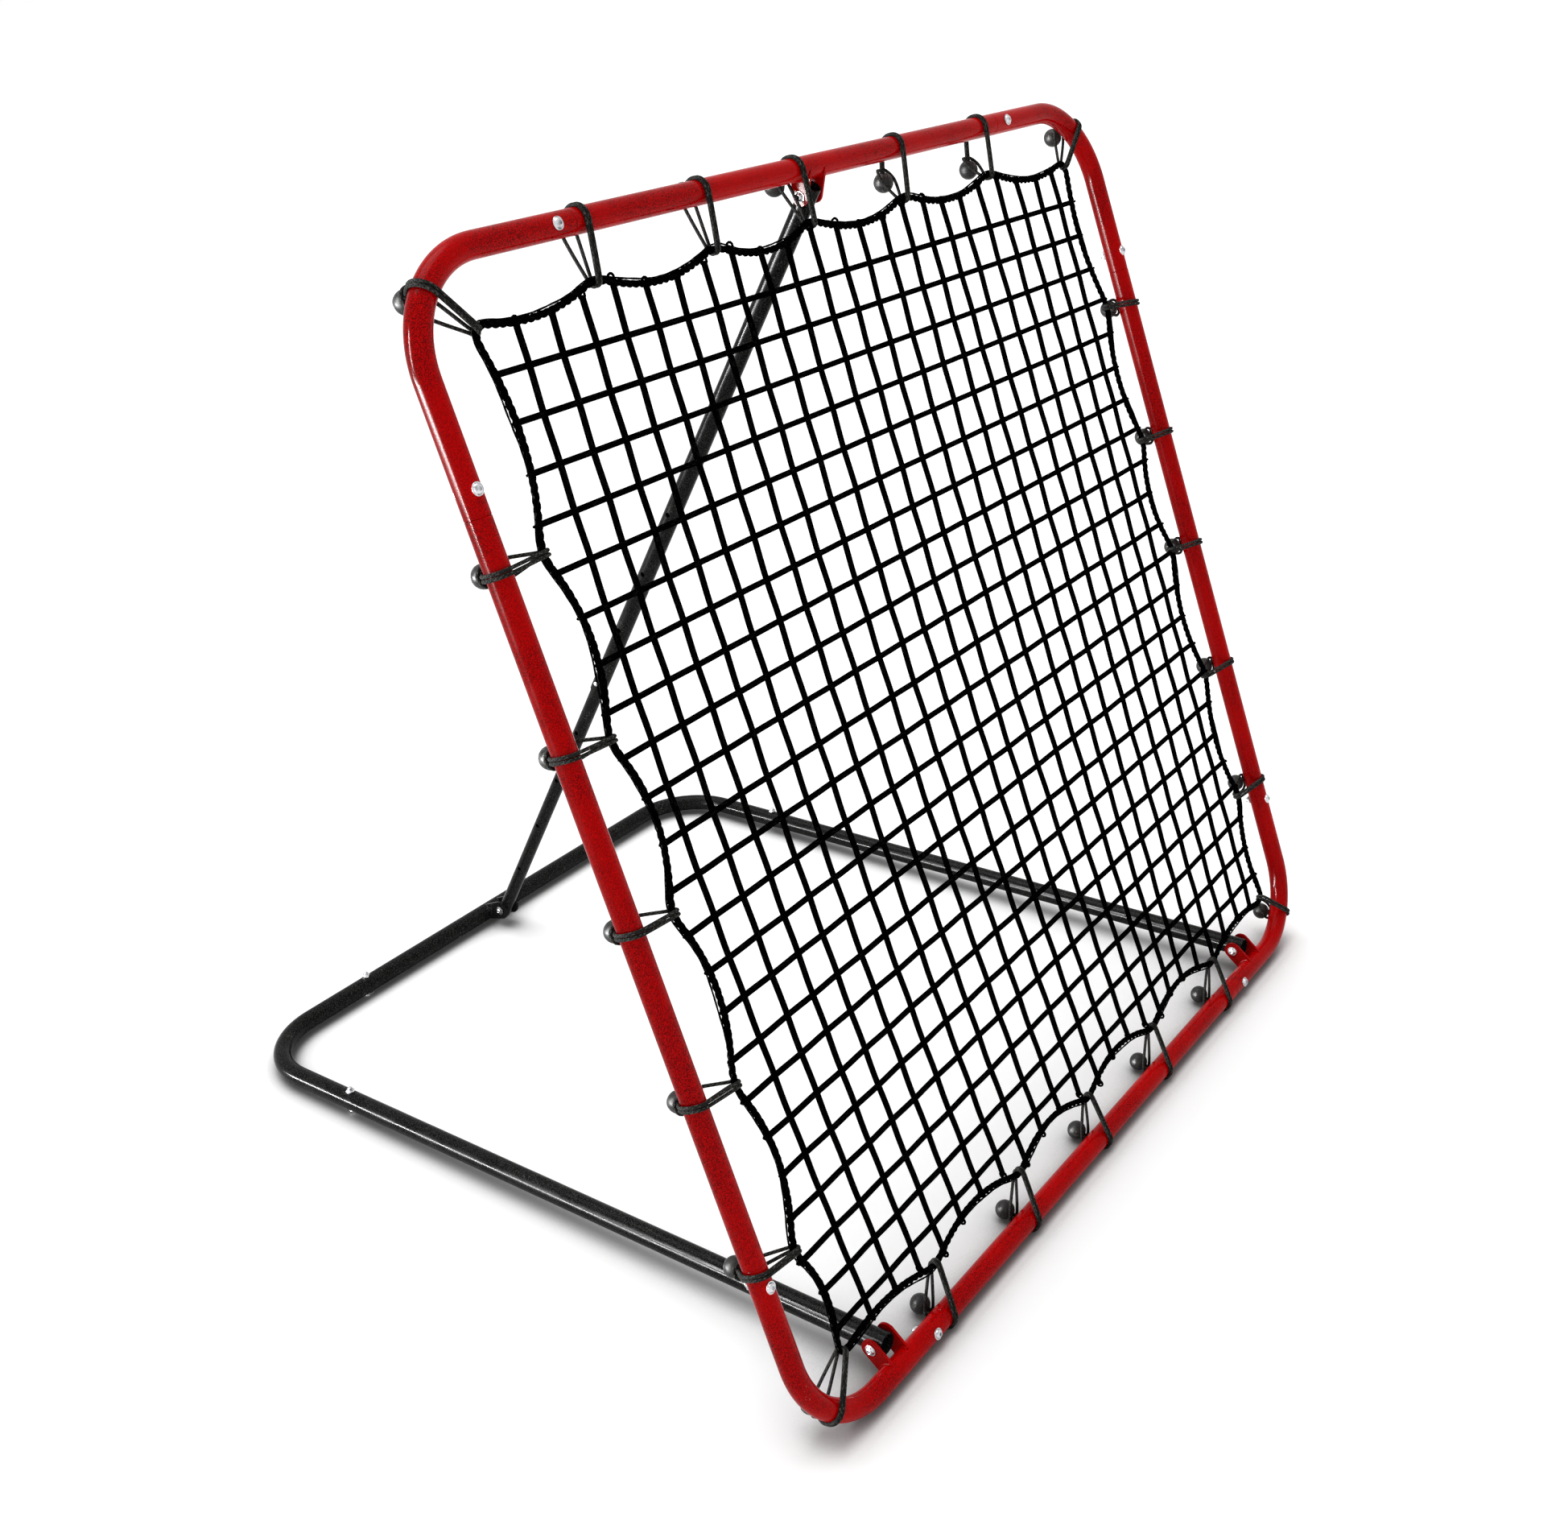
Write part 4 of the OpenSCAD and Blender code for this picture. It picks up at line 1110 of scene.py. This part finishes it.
def thread_bmesh(start, end):
    """The end of the thread that shows past the nut: fine ridges and a chamfer."""
    shank = settings().fastener.shank_d / 2 + 0.00002
    pitch = 0.0008
    profile = [(0.0, start)]
    z = start
    while z + pitch < end:
        profile += [(shank - 0.0004, z), (shank, z + pitch * 0.4), (shank, z + pitch * 0.6)]
        z += pitch
    profile += [(shank - 0.0004, z), (shank - 0.0009, end), (0.0, end)]
    bm = bmesh.new()
    lathe(bm, profile, 20)
    return bm


def nut_bmesh(grip):
    """Hexagon locknut with rounded corners and its nylon collar, past the grip."""
    size = settings().fastener
    corner = size.nut_flats / 2 / math.cos(math.pi / 6)
    hexagon_h, collar_start = size.nut_h * 0.74, size.nut_h * 0.70
    bm = bmesh.new()
    bmesh.ops.create_cone(
        bm, cap_ends=True, segments=6, radius1=corner, radius2=corner, depth=hexagon_h
    )
    bmesh.ops.translate(bm, verts=bm.verts, vec=(0, 0, grip + hexagon_h / 2))
    rims = [e for e in bm.edges if abs(e.verts[0].co.z - e.verts[1].co.z) < 1e-6]
    bmesh.ops.bevel(
        bm, geom=rims, offset=0.0006, offset_type="OFFSET", segments=2, profile=0.5,
        affect="EDGES", material=-1,
    )
    collar = bmesh.new()
    r = size.nut_flats / 2 - 0.0004
    low, high = grip + collar_start, grip + size.nut_h
    lathe(
        collar,
        [(0.0, low), (r, low), (r, high - 0.0009), (r - 0.0006, high - 0.0002),
         (r - 0.0014, high), (size.shank_d / 2, high - 0.0001), (0.0, high - 0.0001)],
        28,
    )
    merge_into(bm, collar)
    return bm


def gather(name, made, places):
    """One object of a shape repeated at places; each place is a matrix."""
    whole = bmesh.new()
    mesh = bpy.data.meshes.new("one")
    made.to_mesh(mesh)
    made.free()
    for place in places:
        copy = bmesh.new()
        copy.from_mesh(mesh)
        bmesh.ops.transform(copy, matrix=place, verts=copy.verts)
        merge_into(whole, copy)
    bpy.data.meshes.remove(mesh)
    return from_bmesh(name, whole, 32.0)


def clamped(centre, axis, half_grip):
    """Place of a fastener whose shank runs along an axis through a joint's centre."""
    turn = Vector(axis).to_track_quat("Z", "Y").to_matrix().to_4x4()
    under_head = centre - Vector(axis).normalized() * (half_grip + BOLT_SEAT)
    return Matrix.Translation(under_head) @ turn


def frame_joint_places():
    """The eight joint bolts of the net frame, heads to the front."""
    reach = FRAME_JOINT - JOINT_BOLT
    back = on_net(0, 0, -1) - on_net(0, 0, 0)
    spots = [(x * HALF_FRAME, up) for x in (-1, 1) for up in (reach, FRAME_SIDE - reach)]
    spots += [(x * (HALF_FRAME - reach), up) for x in (-1, 1) for up in (0.0, FRAME_SIDE)]
    return [clamped(on_net(x, up), back, TUBE_GRIP) for x, up in spots]


def base_joint_places():
    """The four joint bolts of the base, heads below."""
    reach = BASE_JOINT - JOINT_BOLT
    up = on_base(0, 0, 1) - on_base(0, 0, 0)
    spots = [(x * HALF_BASE, reach) for x in (-1, 1)]
    spots += [(x * (HALF_BASE - reach), 0.0) for x in (-1, 1)]
    return [clamped(on_base(x, ahead), up, TUBE_GRIP) for x, ahead in spots]


def low_pivot():
    """Centre of the strut's bottom bolt."""
    low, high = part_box("strut_bottom_bolt")
    return Vector((0, (low.y + high.y) / 2, (low.z + high.z) / 2))


def fastener_sets():
    """Each set of bolts: names of bolts and nuts, places, half grip, body, finish."""
    pivots = [Vector((x * HALF_BASE, HINGE.y, HINGE.z)) for x in (-1, 1)]
    hinges = [clamped(pivot, RIGHT, HINGE_GRIP) for pivot in pivots]
    top = [clamped(TOP_PIVOT, RIGHT, TOP_GRIP)]
    bottom = [clamped(low_pivot(), RIGHT, LOW_GRIP)]
    return [
        ("frame_bolts", "frame_nuts", frame_joint_places(), TUBE_GRIP, "net_frame", "zinc_plate"),
        ("base_bolts", "base_nuts", base_joint_places(), TUBE_GRIP, "base", "zinc_plate"),
        ("hinge_bolts", "hinge_nuts", hinges, HINGE_GRIP, "net_frame", "zinc_plate"),
        ("strut_top_bolt", "strut_top_nut", top, TOP_GRIP, "net_frame", "zinc_plate"),
        ("strut_bottom_bolt", "strut_bottom_nut", bottom, LOW_GRIP, "strut_inner", "black_oxide"),
    ]


# ------------------------------------------------------------------ welds

# Thickness of the plates, and half the distance between the clevis ears' outer faces
PLATE = 0.003
CLEVIS_OUTER = 0.0130


def weld_run(centre, out, axis, half_angle, offset, seed):
    """Bead round part of a tube: lumpy, along the foot of a plate."""
    chance = random.Random(seed)
    side = Vector(axis).cross(out).normalized()
    count = 26
    bead_r = 0.0015
    reach = TUBE_R + 0.0003
    path, thick = [], []
    for k in range(count):
        angle = (2 * k / (count - 1) - 1) * half_angle
        path.append(centre + Vector(axis) * offset + reach * (
            out * math.cos(angle) + side * math.sin(angle)
        ))
        fade = min(1.0, 0.45 + min(k, count - 1 - k) * 0.2)
        lump = 1 + 0.16 * math.sin(k * 2.4) + chance.uniform(-0.05, 0.05)
        thick.append(bead_r * fade * lump)
    return path, thick, False


def plate_welds(centre, out, half_degrees, outer, seed):
    """Beads at both faces of a pair of plates whose outer faces are outer from the middle."""
    faces = (-outer, PLATE - outer, outer - PLATE, outer)
    return [
        weld_run(centre, out, RIGHT, math.radians(half_degrees), offset, seed + n)
        for n, offset in enumerate(faces)
    ]


def build_welds():
    """Beads at the feet of the hinge ears, the strut bracket and the clevis."""
    ear_out = (HINGE - Vector((0, RAIL_Y, RAIL_Z))).normalized()
    ears = [Vector((side * HALF_BASE, RAIL_Y, RAIL_Z)) for side in (-1, 1)]
    runs = [run for ear in ears for run in plate_welds(ear, ear_out, 58, HINGE_GRIP, 10)]
    top = on_net(0, FRAME_SIDE)
    runs += plate_welds(top, (TOP_PIVOT - top).normalized(), 72, TOP_GRIP, 20)
    red = cords("frame_welds", runs, 8)
    rear = on_base(0, 0)
    rear_out = (low_pivot() - rear).normalized()
    black = cords("base_welds", plate_welds(rear, rear_out, 56, CLEVIS_OUTER, 30), 8)
    return red, black


# ------------------------------------------------------------------ stage


def seen_directly(tree):
    """Mask of the rays that show the background: camera, gloss and glass."""
    path = tree.nodes.new("ShaderNodeLightPath")
    camera, gloss, glass = (
        path.outputs[f"Is {kind} Ray"] for kind in ("Camera", "Glossy", "Transmission")
    )
    return math_node(tree, "MAXIMUM", math_node(tree, "MAXIMUM", camera, gloss), glass)


def stage_material(name, colour, glow):
    """Matt pale surface with a painted shadow, by ambient occlusion, close to what stands on it, and a light of
    its own that the painted shadow dims too.
    """
    material = bpy.data.materials.new(name)
    material.use_nodes = True
    tree = material.node_tree
    shader = tree.nodes["Principled BSDF"]
    # Painted shadow: ambient occlusion darkens the floor's colour close to the object, down to a third
    shade_reach, shade_depth = 0.16, 0.34
    shade = shader_node(tree, "ShaderNodeAmbientOcclusion", Distance=shade_reach)
    unshadowed_share = ranged(tree, shade.outputs["AO"], 0.35, 0.97)
    painted_shadow_colour = tuple(shade_depth * c for c in colour)
    tree.links.new(
        mixed_colour(tree, unshadowed_share, painted_shadow_colour, colour), shader.inputs["Base Color"]
    )
    shader.inputs["Roughness"].default_value = 0.95
    shader.inputs["Specular IOR Level"].default_value = 0.0
    # The floor's own light, seen by camera, gloss and glass rays, fades in the painted shadow too
    lit = math_node(tree, "MULTIPLY", seen_directly(tree), glow)
    glowing = math_node(tree, "MULTIPLY", lit, unshadowed_share)
    shader.inputs["Emission Color"].default_value = (1, 1, 1, 1)
    tree.links.new(glowing, shader.inputs["Emission Strength"])
    return material


def build_floor():
    """Wide pale floor under the rebounder."""
    bm = bmesh.new()
    bmesh.ops.create_grid(bm, x_segments=1, y_segments=1, size=settings().stage.floor / 2)
    floor = from_bmesh("floor", bm)
    floor.data.materials.append(stage_material("pale_floor", (0.93, 0.93, 0.93), 0.24))
    return floor


def build_world():
    """Even light from all round; pure white behind the object."""
    world = bpy.data.worlds.new("plain_studio")
    world.use_nodes = True
    tree = world.node_tree
    background = tree.nodes["Background"]
    background.inputs["Color"].default_value = (1, 1, 1, 1)
    shown = seen_directly(tree)
    light = ranged(tree, shown, 0.0, 1.0, settings().stage.sky, 1.0)
    tree.links.new(light, background.inputs["Strength"])
    bpy.context.scene.world = world


def build_lamps():
    """A broad soft sun, and a tall and a low panel that only show in the gloss."""
    stage = settings().stage
    sun = bpy.data.lights.new("soft_sun", "SUN")
    sun.energy = stage.sun
    sun.angle = math.radians(44)
    lamp = bpy.data.objects.new("soft_sun", sun)
    lamp.rotation_euler = Vector((0.02, -0.28, -1.0)).to_track_quat("-Z", "Y").to_euler()
    bpy.context.scene.collection.objects.link(lamp)
    # Each panel: its name, place, width, height and share of the streak's strength
    panels = (
        ("tall_panel", (-3.4, 1.8, 2.0), 0.3, 1.8, 1.0),
        ("low_panel", (-4.0, 2.4, 0.35), 3.4, 0.22, 2.4),
    )
    for name, place, width, height, share in panels:
        light = bpy.data.lights.new(name, "AREA")
        light.shape = "RECTANGLE"
        light.size, light.size_y = width, height
        light.energy = stage.streak * share * width * height * math.pi
        panel = bpy.data.objects.new(name, light)
        panel.location = place
        towards = Vector((0, 0, 0.6)) - Vector(place)
        panel.rotation_euler = towards.to_track_quat("-Z", "Y").to_euler()
        panel.visible_diffuse = False
        bpy.context.scene.collection.objects.link(panel)


def build_camera():
    """The camera at the product's three-quarter view, looking down on the net."""
    data = bpy.data.cameras.new("camera")
    data.sensor_width = 36.0
    data.sensor_fit = "HORIZONTAL"
    data.lens = CAMERA_LENS
    data.shift_x, data.shift_y = CAMERA_SHIFT
    data.clip_start, data.clip_end = 0.05, 200.0
    camera = bpy.data.objects.new("camera", data)
    turns = ((-CAMERA_HEADING, "Z"), (90 - CAMERA_DIP, "X"), (CAMERA_ROLL, "Z"))
    place = Matrix.Translation(CAMERA_PLACE)
    for degrees, axis in turns:
        place = place @ Matrix.Rotation(math.radians(degrees), 4, axis)
    camera.matrix_world = place
    bpy.context.scene.collection.objects.link(camera)
    bpy.context.scene.camera = camera


# ------------------------------------------------------------------ operators


class REBOUNDER_OT_finishes(bpy.types.Operator):
    """Build the finishes and give them to the tubes and other rigid parts"""

    bl_idname = "rebounder.finishes"
    bl_label = "Finish the Rigid Parts"

    def execute(self, context):
        make_materials()
        slots = {row["node"]: row["material_slot"] for row in frame["record"]["subparts"]}
        for name, node in frame["nodes"].items():
            dress(node, slots[name])
        return {"FINISHED"}


class REBOUNDER_OT_welds(bpy.types.Operator):
    """Lay the weld beads at the feet of the plates"""

    bl_idname = "rebounder.welds"
    bl_label = "Add Welds"

    def execute(self, context):
        red, black = build_welds()
        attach(dress(red, "red_paint"), "net_frame")
        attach(dress(black, "black_powder_coat"), "base")
        return {"FINISHED"}


class REBOUNDER_OT_fasteners(bpy.types.Operator):
    """Fit the bolts and nuts"""

    bl_idname = "rebounder.fasteners"
    bl_label = "Add Fasteners"

    def execute(self, context):
        size = settings().fastener
        for bolts, nuts, places, half_grip, body, finish in fastener_sets():
            grip = 2 * (half_grip + BOLT_SEAT)
            bolt = bolt_bmesh(grip + size.nut_h)
            thread = (grip + size.nut_h - 0.0002, grip + size.nut_h + 0.0025)
            merge_into(bolt, thread_bmesh(*thread))
            for node, made in ((bolts, bolt), (nuts, nut_bmesh(grip))):
                piece = dress(gather(f"detailed_{node}", made, places), finish)
                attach(piece, body)
                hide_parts(node)
        return {"FINISHED"}


class REBOUNDER_OT_rope(bpy.types.Operator):
    """Lay the border rope with its lacing"""

    bl_idname = "rebounder.rope"
    bl_label = "Add Border Rope"

    def execute(self, context):
        rope = build_rope()
        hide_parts("net_border_rope")
        for piece, finish in ((rope, "net_cord"), (build_lacing(), "lacing")):
            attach(dress(piece, finish), "net_frame")
        return {"FINISHED"}


class REBOUNDER_OT_net(bpy.types.Operator):
    """Weave the net"""

    bl_idname = "rebounder.net"
    bl_label = "Add Net"

    def execute(self, context):
        net, ends = build_net()
        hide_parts("net")
        for piece in (net, build_end_loops(ends)):
            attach(dress(piece, "net_cord"), "net_frame")
        return {"FINISHED"}


class REBOUNDER_OT_bungees(bpy.types.Operator):
    """Stretch the bungee loops and fit their balls"""

    bl_idname = "rebounder.bungees"
    bl_label = "Add Bungees"

    def execute(self, context):
        for side, ties, inset in sides_of_bungees():
            cord = dress(build_bungee_cords(side, ties, inset), "bungee_cord")
            balls = dress(build_balls(side, ties, inset), "ball_rubber")
            for piece, node, slot in (
                (cord, f"bungee_cords_{side}", "bungee_cord"),
                (balls, f"bungee_balls_{side}", "ball_rubber"),
            ):
                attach(piece, "net_frame")
                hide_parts(node)
        return {"FINISHED"}


class REBOUNDER_OT_stage(bpy.types.Operator):
    """Set the floor, the light and the camera"""

    bl_idname = "rebounder.stage"
    bl_label = "Set the Stage"

    def execute(self, context):
        build_floor()
        build_world()
        build_lamps()
        build_camera()
        context.scene.view_settings.view_transform = "Standard"
        return {"FINISHED"}


STEPS = ("stage", "finishes", "welds", "fasteners", "rope", "net", "bungees")


class REBOUNDER_PT_panel(bpy.types.Panel):
    """Lists the rebounder's steps"""

    bl_label = "Ball Rebounder"
    bl_idname = "REBOUNDER_PT_panel"
    bl_space_type = "VIEW_3D"
    bl_region_type = "UI"
    bl_category = "Rebounder"

    def draw(self, context):
        for step in STEPS:
            self.layout.operator(f"rebounder.{step}")
        for group in ("net", "bungee", "fastener", "colour", "stage"):
            box = self.layout.box()
            chosen = getattr(context.scene.rebounder, group)
            for name in chosen.bl_rna.properties.keys():
                if name not in ("rna_type", "name"):
                    box.prop(chosen, name)


CLASSES = (
    RebounderNetSettings,
    RebounderBungeeSettings,
    RebounderFastenerSettings,
    RebounderColourSettings,
    RebounderStageSettings,
    RebounderSettings,
    REBOUNDER_OT_finishes,
    REBOUNDER_OT_welds,
    REBOUNDER_OT_fasteners,
    REBOUNDER_OT_rope,
    REBOUNDER_OT_net,
    REBOUNDER_OT_bungees,
    REBOUNDER_OT_stage,
    REBOUNDER_PT_panel,
)


def register():
    """Registers the classes and the scene's settings."""
    for cls in CLASSES:
        bpy.utils.register_class(cls)
    bpy.types.Scene.rebounder = PointerProperty(type=RebounderSettings)


def unregister():
    """Takes back what register added."""
    del bpy.types.Scene.rebounder
    for cls in reversed(CLASSES):
        bpy.utils.unregister_class(cls)


def main():
    """Builds everything in order."""
    register()
    for step in STEPS:
        getattr(bpy.ops.rebounder, step)()


if __name__ == "__main__":
    main()
